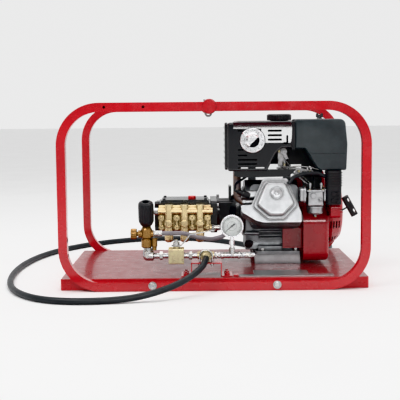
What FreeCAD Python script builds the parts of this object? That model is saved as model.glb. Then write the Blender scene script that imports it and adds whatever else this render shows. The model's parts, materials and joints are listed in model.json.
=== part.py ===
import FreeCAD, Part
import math
import os

Vector = FreeCAD.Vector
X_AXIS = Vector(1, 0, 0)
Y_AXIS = Vector(0, 1, 0)
Z_AXIS = Vector(0, 0, 1)

# A petrol-engined pressure washer on a tubular roll frame, in millimetres.
# +X runs from the pump to the engine's starter, +Y from the pipework side to the fuel tank side,
# +Z up.  The origin is on the ground under the middle of the frame.

# Driving dimensions: frame
frame_width = 914.0
frame_depth = 610.0
loop_height = 552.0
loop_tube = 26.0
tube_wall = 2.5
loop_radius = 125.0
tray_top = 34.0
tray_sheet = 3.0
cross_tube_radius = 19.0
cross_tube_x = -12.0
lift_rod = 6.0

# Driving dimensions: engine and pump
crank_y = 70.0
crank_z = 194.0
bore_tilt = 20.0
shaft_radius = 12.5
riser_top = 66.0
riser_x0 = 132.0
riser_x1 = 283.0
case_x0 = 106.0
case_length = 172.0
riser_y0 = -39.0
riser_y1 = 185.0
pump_x0 = -172.0
pump_x1 = -8.0
manifold_face = -95.0
manifold_back = -42.0
running_gap = 0.05
clearance = 0.5

# Driving dimensions: pipework, which runs along X in front of the pump
pipe_y = -225.0
pipe_z = 93.0
gauge_x = 53.5
gauge_z = 182.0
gauge_radius = 34.5
knob_x = -203.0
knob_tilt = 18.0
hose_outlet_x = -25.0
hose_diameter = 19.0

# Driving dimensions: hose put away behind the engine
coil_x = 305.0
coil_y = 505.0
coil_mid_radius = 130.0
coil_turns_wide = 3
coil_layers = 2

nodes = {}


# ---------------------------------------------------------------- helpers

def box(x0, x1, y0, y1, z0, z1):
    return Part.makeBox(x1 - x0, y1 - y0, z1 - z0, Vector(x0, y0, z0))


def rounded_box(x0, x1, y0, y1, z0, z1, radius):
    solid = box(x0, x1, y0, y1, z0, z1)
    return solid.makeFillet(radius, solid.Edges)


def edges_along(solid, axis):
    found = []
    for edge in solid.Edges:
        line = edge.tangentAt(edge.FirstParameter)
        if abs(abs(line.dot(axis)) - 1.0) < 1e-6 and isinstance(edge.Curve, Part.Line):
            found.append(edge)
    return found


def box_rounded_along(x0, x1, y0, y1, z0, z1, axis, radius):
    solid = box(x0, x1, y0, y1, z0, z1)
    return solid.makeFillet(radius, edges_along(solid, axis))


def rod(start, axis, radius, length):
    return Part.makeCylinder(radius, length, Vector(*start), axis)


def ring(start, axis, outer, inner, length):
    return rod(start, axis, outer, length).cut(rod(start, axis, inner, length))


def hex_rod(start, axis, across_flats, length):
    corner = across_flats / math.sqrt(3)
    points = []
    for index in range(7):
        angle = math.radians(60 * index)
        points.append(Vector(corner * math.cos(angle), corner * math.sin(angle), 0))
    solid = Part.Face(Part.makePolygon(points)).extrude(Vector(0, 0, length))
    solid.Placement = FreeCAD.Placement(Vector(*start), FreeCAD.Rotation(Z_AXIS, axis))
    return solid


def join(*solids):
    first = solids[0]
    if len(solids) == 1:
        return first
    fused = first.fuse(list(solids[1:]))
    refined = fused.removeSplitter()
    if refined.isNull() or not refined.isValid():
        return fused
    return refined


def group(*solids):
    return Part.makeCompound(list(solids))


def corner_arcs(points, radius, closed):
    # Straight edges between the points with an arc of the given radius tangent at each corner.
    count = len(points)
    corners = []
    for index in range(count):
        here = points[index]
        if not closed and index in (0, count - 1):
            corners.append((here, here, here))
            continue
        back = (points[index - 1] - here).normalize()
        ahead = (points[(index + 1) % count] - here).normalize()
        half = (math.pi - back.getAngle(ahead)) / 2
        size = radius[index] if isinstance(radius, (list, tuple)) else radius
        reach = size * math.tan(half)
        middle_way = (back + ahead).normalize()
        middle = here + middle_way * (size / math.cos(half) - size)
        corners.append((here + back * reach, middle, here + ahead * reach))
    edges = []
    for index in range(count if closed else count - 1):
        leave = corners[index][2]
        arrive, middle, depart = corners[(index + 1) % count]
        if leave.distanceToPoint(arrive) > 1e-6:
            edges.append(Part.LineSegment(leave, arrive).toShape())
        if arrive.distanceToPoint(depart) > 1e-6:
            edges.append(Part.Arc(arrive, middle, depart).toShape())
    return edges


def plate(points, radius, travel):
    # A closed outline with rounded corners, extruded along the vector travel.
    outline = Part.Wire(corner_arcs([Vector(*p) for p in points], radius, True))
    return Part.Face(outline).extrude(Vector(*travel))


def swept(points, radius, section_radius, inner_radius=0.0):
    # A round bar or tube along straight runs joined by tangent arcs.
    route = [Vector(*p) for p in points]
    wire = Part.Wire(corner_arcs(route, radius, False))
    way = (route[1] - route[0]).normalize()
    outer = Part.Wire([Part.makeCircle(section_radius, route[0], way)])
    solid = wire.makePipeShell([outer], True, False)
    if inner_radius > 0:
        bore = Part.Wire([Part.makeCircle(inner_radius, route[0], way)])
        solid = solid.cut(wire.makePipeShell([bore], True, False))
    return solid


def turned(profile, centre, axis):
    # A solid of revolution: profile is (distance along axis, radius) pairs.
    points = [Vector(radius, 0, along) for along, radius in profile]
    points = [Vector(0, 0, profile[0][0])] + points + [Vector(0, 0, profile[-1][0])]
    kept = [points[0]]
    for point in points[1:]:
        if point.distanceToPoint(kept[-1]) > 1e-6:
            kept.append(point)
    kept.append(kept[0])
    solid = Part.Face(Part.makePolygon(kept)).revolve(Vector(0, 0, 0), Z_AXIS, 360)
    solid.Placement = FreeCAD.Placement(Vector(*centre), FreeCAD.Rotation(Z_AXIS, axis))
    return solid


def tilted(solid, centre, axis, degrees):
    copy = solid.copy()
    copy.rotate(Vector(*centre), axis, degrees)
    return copy


def keep(name, solid):
    nodes[name] = solid
    return solid


# ---------------------------------------------------------------- frame

def loop_outline(inset, y):
    half = frame_width / 2 - inset
    low = inset
    high = loop_height - inset
    points = [Vector(-half, y, low), Vector(half, y, low), Vector(half, y, high), Vector(-half, y, high)]
    return Part.Face(Part.Wire(corner_arcs(points, loop_radius - inset, True)))


def square_tube_loop(y0):
    # One closed loop of square tube with the tube's hollow inside.
    depth = Vector(0, loop_tube, 0)
    outside = loop_outline(0, y0).extrude(depth).cut(loop_outline(loop_tube, y0).extrude(depth))
    hollow_depth = Vector(0, loop_tube - 2 * tube_wall, 0)
    y_hollow = y0 + tube_wall
    hollow = loop_outline(tube_wall, y_hollow).extrude(hollow_depth)
    hollow = hollow.cut(loop_outline(loop_tube - tube_wall, y_hollow).extrude(hollow_depth))
    return outside.cut(hollow)


frame_bolt_x = (-183.0, 183.0)
frame_bolt_z = 17.0
frame_bolt_radius = 5.0
vent_x = (-316.0, -203.0)
vent_radius = 4.0


def make_frame():
    half_depth = frame_depth / 2
    front = square_tube_loop(-half_depth)
    rear = square_tube_loop(half_depth - loop_tube)
    cross_z = loop_height - loop_tube / 2
    cross_length = frame_depth + 4
    cross_start = (cross_tube_x, -cross_length / 2, cross_z)
    cross_solid = rod(cross_start, Y_AXIS, cross_tube_radius, cross_length)
    hollow_start = (cross_tube_x, -cross_length / 2 + 3, cross_z)
    cross = cross_solid.cut(rod(hollow_start, Y_AXIS, cross_tube_radius - 3, cross_length - 6))
    front = front.cut(cross_solid)
    rear = rear.cut(cross_solid)
    bolt_holes = []
    for x in frame_bolt_x:
        bolt_holes.append(rod((x, -half_depth - 1, frame_bolt_z), Y_AXIS, frame_bolt_radius,
                              frame_depth + 2))
    front = front.cut(bolt_holes)
    rear = rear.cut(bolt_holes)
    for x in vent_x:
        front = front.cut(rod((x, -half_depth, cross_z), Y_AXIS, vent_radius, tube_wall))
        rear = rear.cut(rod((x, half_depth, cross_z), -Y_AXIS, vent_radius, tube_wall))
    # A U-bolt hangs through the middle of the cross tube as the lifting eye.
    leg = 9.0
    eye_low = loop_height - 42.0
    eye_high = loop_height + 10.0
    eye_points = [
        (cross_tube_x - leg, 0, eye_high),
        (cross_tube_x - leg, 0, eye_low),
        (cross_tube_x + leg, 0, eye_low),
        (cross_tube_x + leg, 0, eye_high),
    ]
    eye_rod = swept(eye_points, leg - 0.01, lift_rod / 2)
    eye = [eye_rod]
    for side in (-leg, leg):
        nut_start = (cross_tube_x + side, 0, cross_z + cross_tube_radius + 0.5)
        eye.append(hex_rod(nut_start, Z_AXIS, 11.0, 5.0))
        cross = cross.cut(rod((cross_tube_x + side, 0, cross_z - 30), Z_AXIS, lift_rod / 2 + 0.2, 60))
    eye = join(*eye)
    pan = make_tray().cut(bolt_holes)
    bolts = []
    for x in frame_bolt_x:
        for y, way in ((-half_depth, Y_AXIS), (half_depth, -Y_AXIS)):
            head_start = Vector(x, y, frame_bolt_z) - way * 2
            washer = rod(head_start, way, 12.0, 2.0)
            head = hex_rod(head_start - way * 6.0, way, 16.0, 6.0)
            crown_profile = [(-1, 7.2), (0.0, 7.6), (1.6, 9.4), (7.0, 9.4)]
            crown = turned(crown_profile, head_start - way * 6.0, way)
            head = head.common(crown)
            shank = rod(head_start, way, frame_bolt_radius - 0.1, loop_tube + 2 + tray_sheet + 12)
            nut = hex_rod(Vector(x, y, frame_bolt_z) + way * (loop_tube + tray_sheet), way, 16.0, 8.0)
            bolts.append(join(washer, head, shank, nut))
    keep("front_loop", front)
    keep("rear_loop", rear)
    keep("top_cross_tube", cross)
    keep("lifting_eye", eye)
    keep("base_tray", pan)
    return group(*bolts)


def make_tray():
    # A pressed pan: flat top with flanges turned down to the ground on all four sides.
    half_x = frame_width / 2
    half_y = frame_depth / 2 - loop_tube
    corner = 7.0
    sheet_z = tray_top - tray_sheet
    top_sheet = box_rounded_along(-half_x, half_x, -half_y, half_y, sheet_z, tray_top, Z_AXIS, corner)
    upper_edges = []
    for edge in top_sheet.Edges:
        if all(abs(vertex.Z - tray_top) < 1e-6 for vertex in edge.Vertexes):
            upper_edges.append(edge)
    top_sheet = top_sheet.makeFillet(2.4, upper_edges)
    outer = box_rounded_along(-half_x, half_x, -half_y, half_y, 0, sheet_z, Z_AXIS, corner)
    inner = box_rounded_along(-half_x + tray_sheet, half_x - tray_sheet, -half_y + tray_sheet,
                              half_y - tray_sheet,
                              -1, tray_top, Z_AXIS, corner - tray_sheet)
    skirt = outer.cut(inner)
    end = half_y - corner
    skirts = [
        skirt.common(box(-half_x, half_x, -half_y, -end, 0, sheet_z)),
        skirt.common(box(-half_x, half_x, end, half_y, 0, sheet_z)),
        skirt.common(box(-half_x, 0, -end, end, 0, sheet_z)),
        skirt.common(box(0, half_x, -end, end, 0, sheet_z)),
    ]
    return group(top_sheet, *skirts)


mount_bolt_x = (160.0, 267.0)
mount_bolt_y = (-25.0, 170.0)


def make_base_plates():
    # A folded steel riser lifts the engine off the tray, and thin plates lie in front of it.
    riser = box_rounded_along(riser_x0, riser_x1, riser_y0, riser_y1, tray_top, riser_top, Z_AXIS, 4.0)
    wall = 5.0
    riser = riser.cut(box(riser_x0 - 1, riser_x1 + 1, riser_y0 + wall, riser_y1 - wall,
                          tray_top - 1, riser_top - wall))
    strip_z = tray_top + 2.0
    wide = box_rounded_along(120, 286, -235, -165, tray_top, strip_z, Z_AXIS, 3.0)
    long = box_rounded_along(73, 357, -262, -235.5, tray_top, strip_z, Z_AXIS, 3.0)
    return riser, group(wide, long)


# ---------------------------------------------------------------- engine

def in_bore_frame(solid):
    # Turns a solid built with the bore along -Y through the crank axis to the real tilt.
    return tilted(solid, (0, crank_y, crank_z), X_AXIS, -bore_tilt)


cylinder_x = 200.0
bore_radius = 44.0
head_start = 152.0
head_end = 208.0
foot_top = 76.0


def make_engine_block():
    # Crankcase with a flared foot, and the finned cylinder barrel.
    case_profile = [
        (154.0, 77.0), (154.0, 100.0), (166.0, 200.0), (140.0, 288.0),
        (40.0, 300.0), (-18.0, 262.0), (-12.0, 100.0), (-16.0, 77.0),
    ]
    case = plate([(case_x0, y, z) for y, z in case_profile], 3.0, (case_length, 0, 0))
    foot = box_rounded_along(riser_x0 + 6, riser_x1 - 1, -46, 188, riser_top, foot_top, Z_AXIS, 5.0)
    step = box_rounded_along(riser_x0 + 14, 222, -30, 170, riser_top, 92, X_AXIS, 6.0)
    gusset = plate([(221, -26, 76), (221, -26, 98), (266, -26, 76)], 0.5, (0, 12, 0))
    ledges = []
    for z, reach in ((134, -19.0), (122, -23.0), (112, -21.0)):
        ledges.append(box_rounded_along(150, 222, reach, 0, z, z + 5, X_AXIS, 2.0))
    oil_tube = rod((102, -26, 131.5), X_AXIS, 4.8, 46)
    tube_lug = box_rounded_along(126, 140, -27, 0, 126, 137, X_AXIS, 3.0)
    case = join(case, foot, step, gusset, oil_tube, tube_lug, *ledges)
    barrel = rod((cylinder_x, crank_y, crank_z), -Y_AXIS, bore_radius + 10, head_start)
    fins = []
    for index in range(5):
        y = crank_y - 98.0 - index * 11.0
        x0 = cylinder_x - 82
        x1 = cylinder_x + 72
        fins.append(box_rounded_along(x0, x1, y - 3.5, y, crank_z - 84, crank_z + 52, Y_AXIS, 18.0))
    barrel = in_bore_frame(join(barrel, *fins))
    block = join(case, barrel)
    bore = in_bore_frame(rod((cylinder_x, crank_y, crank_z), -Y_AXIS, bore_radius, head_start))
    cavity = rod((case_x0 + 12, crank_y, crank_z), X_AXIS, 74.0, 138.0)
    block = block.cut(bore).cut(cavity)
    shaft_hole = rod((case_x0 - 5, crank_y, crank_z), X_AXIS, shaft_radius + 6, 220)
    block = block.cut(shaft_hole)
    for x in mount_bolt_x:
        for y in mount_bolt_y:
            block = block.cut(rod((x, y, riser_top - 2), Z_AXIS, 4.6, 20))
    bolts = []
    for x in mount_bolt_x:
        for y in mount_bolt_y:
            shank = rod((x, y, riser_top - 14), Z_AXIS, 4.4, 24)
            head = hex_rod((x, y, foot_top + 2.0), Z_AXIS, 14.0, 6.0)
            washer = rod((x, y, foot_top), Z_AXIS, 8.0, 2.0)
            nut = hex_rod((x, y, riser_top - 13), Z_AXIS, 13.0, 7.5)
            bolts.append(join(shank, head, washer, nut))
    return block, group(*bolts)


def make_crankcase_cover():
    # The power-take-off side cover carries the bearing and the pump adapter's bolts.
    cover = turned([(0, 66.0), (8, 74.0), (12, 82.0), (14, 82.0)], (88.0, crank_y, crank_z), X_AXIS)
    cover = cover.cut(rod((80, crank_y, crank_z), X_AXIS, shaft_radius + 12, 60))
    bearing = ring((89.0, crank_y, crank_z), X_AXIS, shaft_radius + 12, shaft_radius + running_gap, 12.0)
    return cover, bearing


def make_cylinder_head():
    # Head casting with its fins; the lower edge slopes up towards the exhaust side.
    y0 = crank_y - head_start
    y1 = crank_y - head_end
    depth = y0 - y1
    outline = [
        (156, y1, crank_z + 53), (118, y1, crank_z - 32), (86, y1, crank_z - 32),
        (87, y1, crank_z - 54), (132, y1, crank_z - 82), (156, y1, crank_z - 88), (272, y1, crank_z - 88),
        (272, y1, crank_z - 58), (232, y1, crank_z + 53),
    ]
    radii = (6.0, 6.0, 5.0, 12.0, 14.0, 10.0, 4.0, 10.0, 8.0)
    core = plate(outline, radii, (0, depth, 0))
    for index in range(4):
        start = y1 + 10 + index * 11.0
        core = core.cut(box(80, 130, start, start + 6.5, crank_z - 110, crank_z + 80))
        core = core.cut(box(100, 300, start, start + 6.5, crank_z - 110, crank_z - 76))
        core = core.cut(box(244, 300, start, start + 6.5, crank_z - 76, crank_z + 80))
    # The exhaust port stands out of the left side with its flange and two studs.
    port = box_rounded_along(88, 150, y1 + 4, y1 + 40, crank_z - 7, crank_z + 17, X_AXIS, 6.0)
    stud = rod((90, y1 + 12, crank_z - 19.5), X_AXIS, 6.5, 44)
    stud_nut = hex_rod((92, y1 + 12, crank_z - 19.5), X_AXIS, 15.0, 8.0)
    core = join(core, port, stud, stud_nut)
    core = core.cut(rod((cylinder_x, y0 + 1, crank_z), -Y_AXIS, bore_radius - 4, 16))
    return in_bore_frame(core)


cover_x = 195.0
cover_lift = -3.0
cover_points = ((-37.5, 47.0), (34.5, 47.0), (67.5, -32.0), (24.0, -78.0), (-28.0, -78.0), (-73.5, -37.0))


def cover_outline(grow, y):
    # The six-sided outline of the rocker cover, moved outwards by grow all round its middle.
    middle_z = -22.0
    outline = []
    for x, z in cover_points:
        size = math.hypot(x, z - middle_z)
        factor = 1 + grow / size
        outline.append((cover_x + x * factor, y, crank_z + cover_lift + middle_z + (z - middle_z) * factor))
    return outline


def front_face_edges(solid, y):
    found = []
    for edge in solid.Edges:
        if all(abs(vertex.Y - y) < 1e-6 for vertex in edge.Vertexes):
            found.append(edge)
    return found


def make_valve_cover():
    # Pressed rocker cover: a rolled flange, a crowned six-sided dish and a round boss near the top.
    face_y = crank_y - head_end
    gasket_depth = 4.0
    flange_depth = 5.0
    depth = 17.0
    flange_y = face_y - gasket_depth - flange_depth
    dish_y = flange_y - depth
    gasket = plate(cover_outline(0.5, face_y - gasket_depth), 14.0, (0, gasket_depth, 0))
    flange = plate(cover_outline(-2.0, flange_y), 13.0, (0, flange_depth, 0))
    flange = flange.makeFillet(3.0, front_face_edges(flange, flange_y))
    dish = plate(cover_outline(-12.0, dish_y), 12.0, (0, depth + 2.0, 0))
    dish = dish.makeFillet(8.0, front_face_edges(dish, dish_y))
    boss_at = (cover_x, dish_y, crank_z + cover_lift)
    boss_groove = ring((cover_x, dish_y - 1, crank_z + cover_lift), Y_AXIS, 23.5, 19.0, 2.2)
    boss = turned([(-2, 19.0), (0, 19.0), (2.0, 16.0), (3.6, 11.0), (4.2, 7.0), (6.4, 5.5),
                   (7.0, 2.0)], boss_at, -Y_AXIS)
    hollow = plate(cover_outline(-15.0, dish_y + 2.5), 10.0, (0, depth + flange_depth + gasket_depth, 0))
    cover = join(flange, dish.cut(boss_groove), boss).cut(hollow)
    return in_bore_frame(cover), in_bore_frame(gasket)


def make_piston():
    # Piston at mid-stroke in its bore, with three ring grooves.
    top = 128.0
    start = (cylinder_x, crank_y - top, crank_z)
    piston = rod(start, Y_AXIS, bore_radius - 0.2, 46.0)
    for offset in (4, 9, 14):
        piston = piston.cut(ring((cylinder_x, crank_y - top + offset, crank_z), Y_AXIS,
                                 bore_radius + 2, bore_radius - 3, 2.0))
    piston = piston.cut(rod((cylinder_x, crank_y - top + 8, crank_z), Y_AXIS, bore_radius - 12, 60.0))
    piston = join(piston, rod((cylinder_x - 34, crank_y - top + 32, crank_z), X_AXIS, 9.0, 68.0))
    return in_bore_frame(piston)


def make_crankshaft():
    # Shaft from the pump coupling to the flywheel, with two webs and the crank pin between them.
    shaft = rod((36, crank_y, crank_z), X_AXIS, shaft_radius, 340)
    gap = rod((cylinder_x - 22, crank_y, crank_z), X_AXIS, shaft_radius + 1, 44)
    shaft = shaft.cut(gap)
    solids = [shaft]
    for x in (cylinder_x - 36, cylinder_x + 22):
        weight = rod((x, crank_y, crank_z), X_AXIS, 52.0, 14).common(
            box(x - 1, x + 20, crank_y - 60, crank_y + 60, crank_z - 60, crank_z + 14))
        arm = box_rounded_along(x, x + 14, crank_y - 17, crank_y + 17, crank_z - 20, crank_z + 49,
                                X_AXIS, 14.0)
        solids.append(join(weight, arm))
    pin = rod((cylinder_x - 30, crank_y, crank_z + 32), X_AXIS, 16.0, 60)
    solids.append(pin)
    return join(*solids)


fan_x0 = 286.5
fan_x1 = 368.0


def make_fan_housing():
    # Sheet-metal scroll round the flywheel fan, with an air duct towards the cylinder.
    profile = [
        (-74, 46), (206, 46), (214, 150), (206, 300), (150, 330),
        (40, 330), (6, 306), (-24, 262), (-24, 224), (-74, 186),
    ]
    radii = (30.0, 30.0, 60.0, 50.0, 40.0, 20.0, 12.0, 12.0, 20.0, 40.0)
    outline = [(fan_x0, y, z) for y, z in profile]
    shell = plate(outline, radii, (fan_x1 - fan_x0, 0, 0))
    edges = []
    for edge in shell.Edges:
        if all(abs(vertex.X - fan_x1) < 1e-6 for vertex in edge.Vertexes):
            edges.append(edge)
    shell = shell.makeFillet(11.0, edges)
    inner = [(fan_x0 - 1, y, z) for y, z in profile]
    hollow = plate(inner, radii, (fan_x1 - fan_x0 - 2, 0, 0))
    shrink = FreeCAD.Matrix()
    shrink.scale(1.0, 0.965, 0.965)
    middle = Vector(0, crank_y, 190.0)
    hollow.translate(-middle)
    hollow = hollow.transformGeometry(shrink)
    hollow.translate(middle)
    shell = shell.cut(hollow)
    duct = box_rounded_along(224, fan_x0, -40, -31, 86, 150, Y_AXIS, 3.0)
    lip = box(224, fan_x0, -46, -31, 86, 91)
    shell = join(shell, duct, lip)
    shell = shell.cut(rod((fan_x1 - 6, crank_y, crank_z), X_AXIS, 98.0, 20))
    return shell


def make_recoil_housing():
    # Domed starter cover with cooling slots and a snout that the rope comes out of.
    x0 = fan_x1 + 0.5
    dome_profile = [(0, 116.0), (16, 115.0), (40, 98.0), (50, 88.0), (54, 78.0)]
    hollow_profile = [(-1, 112.5), (15.5, 111.5), (38, 95.0), (48, 84.5), (51, 76.0)]
    dome = turned(dome_profile, (x0, crank_y, crank_z), X_AXIS)
    hollow = turned(hollow_profile, (x0, crank_y, crank_z), X_AXIS)
    snout = box_rounded_along(x0, x0 + 30, -106, 10, 188, 228, X_AXIS, 8.0)
    snout_hollow = box(x0 + 3, x0 + 27, -76, 12, 192, 224)
    housing = join(dome, snout).cut(hollow).cut(snout_hollow)
    slots = []
    for index in range(4):
        x = x0 + 8 + index * 10.0
        slots.append(box(x, x + 5, -90, 20, 146, 170))
        slots.append(box(x, x + 5, -90, 20, 100, 116))
    for index in range(12):
        angle = 30 * index
        slot = box(x0 + 46, x0 + 60, crank_y - 5, crank_y + 5, crank_z + 40, crank_z + 71)
        slots.append(tilted(slot, (0, crank_y, crank_z), X_AXIS, angle))
    housing = housing.cut(slots)
    pivot = rod((x0 + 20, crank_y, crank_z), X_AXIS, 8.0, 32.0)
    housing = join(housing, pivot)
    hole = rod(rope_at(-40), rope_axis, 5.0, 70.0)
    return housing.cut(hole)


rope_axis = Vector(0.875, 0, 0.485).normalize()
rope_start = Vector(398.0, -88.0, 206.5)
rope_radius = 2.5


def rope_at(along):
    point = rope_start + rope_axis * along
    return (point.x, point.y, point.z)


def make_recoil_parts():
    x0 = fan_x1 + 0.5
    pulley = turned([(0, 62.0), (4, 62.0), (4, 52.0), (14, 52.0), (14, 62.0), (18, 62.0)],
                    (x0 + 26, crank_y, crank_z), X_AXIS)
    pulley = pulley.cut(rod((x0, crank_y, crank_z), X_AXIS, 8.0 + running_gap, 80))
    guide = ring(rope_at(-6), rope_axis, 9.5, rope_radius + 0.5, 14.0)
    handle_at = rope_start + rope_axis * 37.0
    across = Vector(-rope_axis.z, 0, rope_axis.x)
    length = 66.0
    bar = box_rounded_along(-length / 2, length / 2, -12, 12, -11, 11, X_AXIS, 8.0)
    for side in (-19, 19):
        bar = bar.cut(box_rounded_along(side - 7, side + 7, -20, 20, 2, 8.5, Y_AXIS, 3.0))
    bar.Placement = FreeCAD.Placement(handle_at, FreeCAD.Rotation(across * -1, Y_AXIS, rope_axis, "XZY"))
    bar = bar.cut(rod(rope_at(0), rope_axis, rope_radius, 37.0))
    rope = rod(rope_at(-4.0), rope_axis, rope_radius, 41.0)
    return pulley, guide, bar, rope


def make_flywheel():
    # Flywheel with radial fan blades inside the scroll.
    disc = turned([(0, 30.0), (6, 80.0), (18, 86.0), (24, 86.0), (24, 56.0), (44, 56.0)],
                  (fan_x0 + 16, crank_y, crank_z), X_AXIS)
    disc = disc.cut(rod((fan_x0, crank_y, crank_z), X_AXIS, shaft_radius, 100))
    blades = []
    for index in range(12):
        blade = box(fan_x0 + 39, fan_x0 + 60, crank_y - 1.5, crank_y + 1.5, crank_z + 50, crank_z + 84)
        blades.append(tilted(blade, (0, crank_y, crank_z), X_AXIS, 30 * index))
    return join(disc, *blades)


# Muffler box and its round outlet
muffler_x0 = 44.0
muffler_x1 = 240.0
muffler_y0 = -112.0
muffler_z0 = 340.0
muffler_z1 = 494.0
deflector_x = 123.0
deflector_z = 434.0


def make_shield():
    # The front shield is a deep pressed panel whose lower right corner is cut away in a curve.  Its
    # upper right field leans back from the face.
    x0 = muffler_x0 + 2
    x1 = 246.0
    y1 = muffler_y0 - 8.0
    depth = 26.0
    sheet = 2.5
    top = muffler_z1 - 4
    low = muffler_z0 - 1
    outline = [(x0, low), (168, low), (194, 392), (214, 410), (x1, 410), (x1, top), (x0, top)]
    radii = (8.0, 6.0, 18.0, 14.0, 4.0, 8.0, 8.0)
    inner = [
        (x0 + sheet, low + sheet), (167, low + sheet), (191.5, 393.5), (212.5, 410 + sheet),
        (x1 - sheet, 410 + sheet), (x1 - sheet, top - sheet), (x0 + sheet, top - sheet),
    ]

    def leaning(inset):
        lean = math.tan(math.radians(8.0))
        start_z = 426.0
        reach = (top + 10 - start_z) * lean
        wedge = plate([(150, y1 - 5, start_z), (150, y1 + inset, start_z),
                       (150, y1 + inset + reach, top + 10),
                       (150, y1 - 5, top + 10)], 0.5, (x1 + 10 - 150, 0, 0))
        left_z = 470.0
        left_start = (left_z - start_z) * lean
        left = plate([(64, y1 - 5, left_z), (64, y1 + inset + left_start, left_z),
                      (64, y1 + inset + reach, top + 10), (64, y1 - 5, top + 10)], 0.5, (100, 0, 0))
        return join(wedge, left)

    outer = plate([(x, y1, z) for x, z in outline], radii, (0, depth, 0))
    outer = outer.makeFillet(6.0, front_face_edges(outer, y1)).cut(leaning(0.0))
    core = plate([(x, y1 + sheet, z) for x, z in inner], 4.0, (0, depth, 0)).cut(leaning(sheet))
    shield = outer.cut(core)
    slots = []
    for z in (463.5, 449.5, 436.0):
        slots.append(box_rounded_along(171, 214, y1 - 5, y1 + 16, z - 3.0, z + 3.0, Y_AXIS, 2.4))
    for z, x_end in ((464.0, 94), (405.0, 94), (388.0, 106), (374.0, 137), (361.0, 137), (349.0, 160)):
        slots.append(box_rounded_along(78, x_end, y1 - 5, y1 + 10, z - 2.0, z + 2.0, Y_AXIS, 1.9))
    slots.append(box_rounded_along(228, 233.5, y1 - 5, y1 + 16, 426, 449, Y_AXIS, 2.5))
    slots.append(box_rounded_along(218, 233.5, y1 - 5, y1 + 16, 422, 427.5, Y_AXIS, 2.5))
    slots.append(rod((deflector_x, y1 - 5, deflector_z), Y_AXIS, 40.0, 24))
    return shield.cut(slots)


def make_deflector():
    # Round outlet: a flat ring with small holes and a hooded spout that opens down to the right.
    y1 = muffler_y0 - 8.0
    at = (deflector_x, y1 - 1, deflector_z)
    disc = turned([(0, 38.5), (2.5, 38.5), (4.0, 36.5), (4.0, 20.0)],
                  (deflector_x, y1 + 3, deflector_z), -Y_AXIS)
    spout = turned([(0, 24.0), (16, 24.0), (20, 21.0), (22, 16.0)], at, -Y_AXIS)
    spout_hollow = turned([(-5, 21.5), (15, 21.5), (18, 19.0), (19.5, 15.0)], at, -Y_AXIS)
    backing = ring((deflector_x, y1 + 3, deflector_z), Y_AXIS, 38.5, 30.0, 20.0)
    mouth = box(-80, 80, -80, 80, 0, 60)
    way = Vector(0.62, -0.30, -0.62).normalize()
    mouth.Placement = FreeCAD.Placement(Vector(*at) + way * 10.0, FreeCAD.Rotation(Z_AXIS, way))
    spout = spout.cut(mouth)
    deflector = join(disc, spout, backing).cut(spout_hollow)
    holes = []
    for index in range(14):
        angle = 2 * math.pi * index / 14
        centre = (deflector_x + 30.5 * math.cos(angle), y1 - 8, deflector_z + 30.5 * math.sin(angle))
        holes.append(rod(centre, Y_AXIS, 1.8, 10.4))
    return deflector.cut(holes)


def make_muffler_guard():
    # Side guard: a curved sheet with rows of round holes, over the left end of the muffler.
    low = muffler_z0 + 2
    top = muffler_z1 - 4
    left = muffler_x0 - 7
    corners = [(muffler_x0 + 2, -104, top), (muffler_x0 + 2, -104, low), (muffler_x0 + 2, 10, low),
               (muffler_x0 + 2, 10, top)]
    guard = plate(corners, 8.0, (-9, 0, 0))
    left_edges = []
    for edge in guard.Edges:
        if all(abs(vertex.X - left) < 1e-6 for vertex in edge.Vertexes):
            left_edges.append(edge)
    guard = guard.makeFillet(5.0, left_edges)
    guard = guard.cut(box(muffler_x0 - 5, muffler_x0 + 3, -101, 7, low + 3, top - 3))
    holes = []
    for row in range(7):
        for column in range(5):
            centre = (muffler_x0 - 12, -88 + column * 20.0, muffler_z0 + 20 + row * 19.0)
            holes.append(rod(centre, X_AXIS, 3.6, 10))
    return guard.cut(holes)


def make_exhaust():
    low_body = rounded_box(muffler_x0 + 14, 166, -94, -8, muffler_z0 + 12, muffler_z1 - 8, 12.0)
    body = join(low_body, rounded_box(130, muffler_x1 - 6, -94, -8, 418, muffler_z1 - 8, 12.0))
    bracket = plate([(66, -104, 343), (66, -104, 322), (96, -104, 318), (236, -104, 320),
                     (262, -104, 343)], 2.0, (0, 3, 0))
    pipe = swept([(78, -40, 352), (78, -40, 250), (100, -52, 236)], 18.0, 12.5, 9.5)
    body = body.cut(rod((78, -40, 320), Z_AXIS, 12.5, 40))
    return body, join(make_shield(), bracket), make_deflector(), make_muffler_guard(), pipe


fuel_cap_x = 225.0
fuel_cap_y = 100.0
tank_x0 = 62.0
tank_x1 = 405.0
tank_y0 = 6.0
tank_y1 = 262.0
tank_z0 = 352.0
tank_z1 = 492.0
tank_sheet = 3.0


def make_fuel_tank():
    # Tank behind and above the engine with its filler neck, standing on two straps.
    lower = rounded_box(tank_x0, tank_x1, tank_y0, tank_y1, tank_z0, 430, 20.0)
    upper = rounded_box(tank_x0, tank_x1, tank_y0, tank_y1, 380, tank_z1, 28.0)
    tank = join(lower, upper)
    neck = rod((fuel_cap_x, fuel_cap_y, 485), Z_AXIS, 30.0, 13.0)
    tank = join(tank, neck)
    hollow = rounded_box(tank_x0 + tank_sheet, tank_x1 - tank_sheet, tank_y0 + tank_sheet,
                         tank_y1 - tank_sheet, tank_z0 + tank_sheet, tank_z1 - tank_sheet, 24.0)
    tank = tank.cut(hollow).cut(rod((fuel_cap_x, fuel_cap_y, 470), Z_AXIS, 26.0, 40))
    straps = []
    for x in (122, 240):
        strap = join(box(x, x + 26, 120, 126, 280, 350), box(x, x + 26, 96, 156, 347, 351.5))
        straps.append(strap)
    return tank, straps


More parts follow.
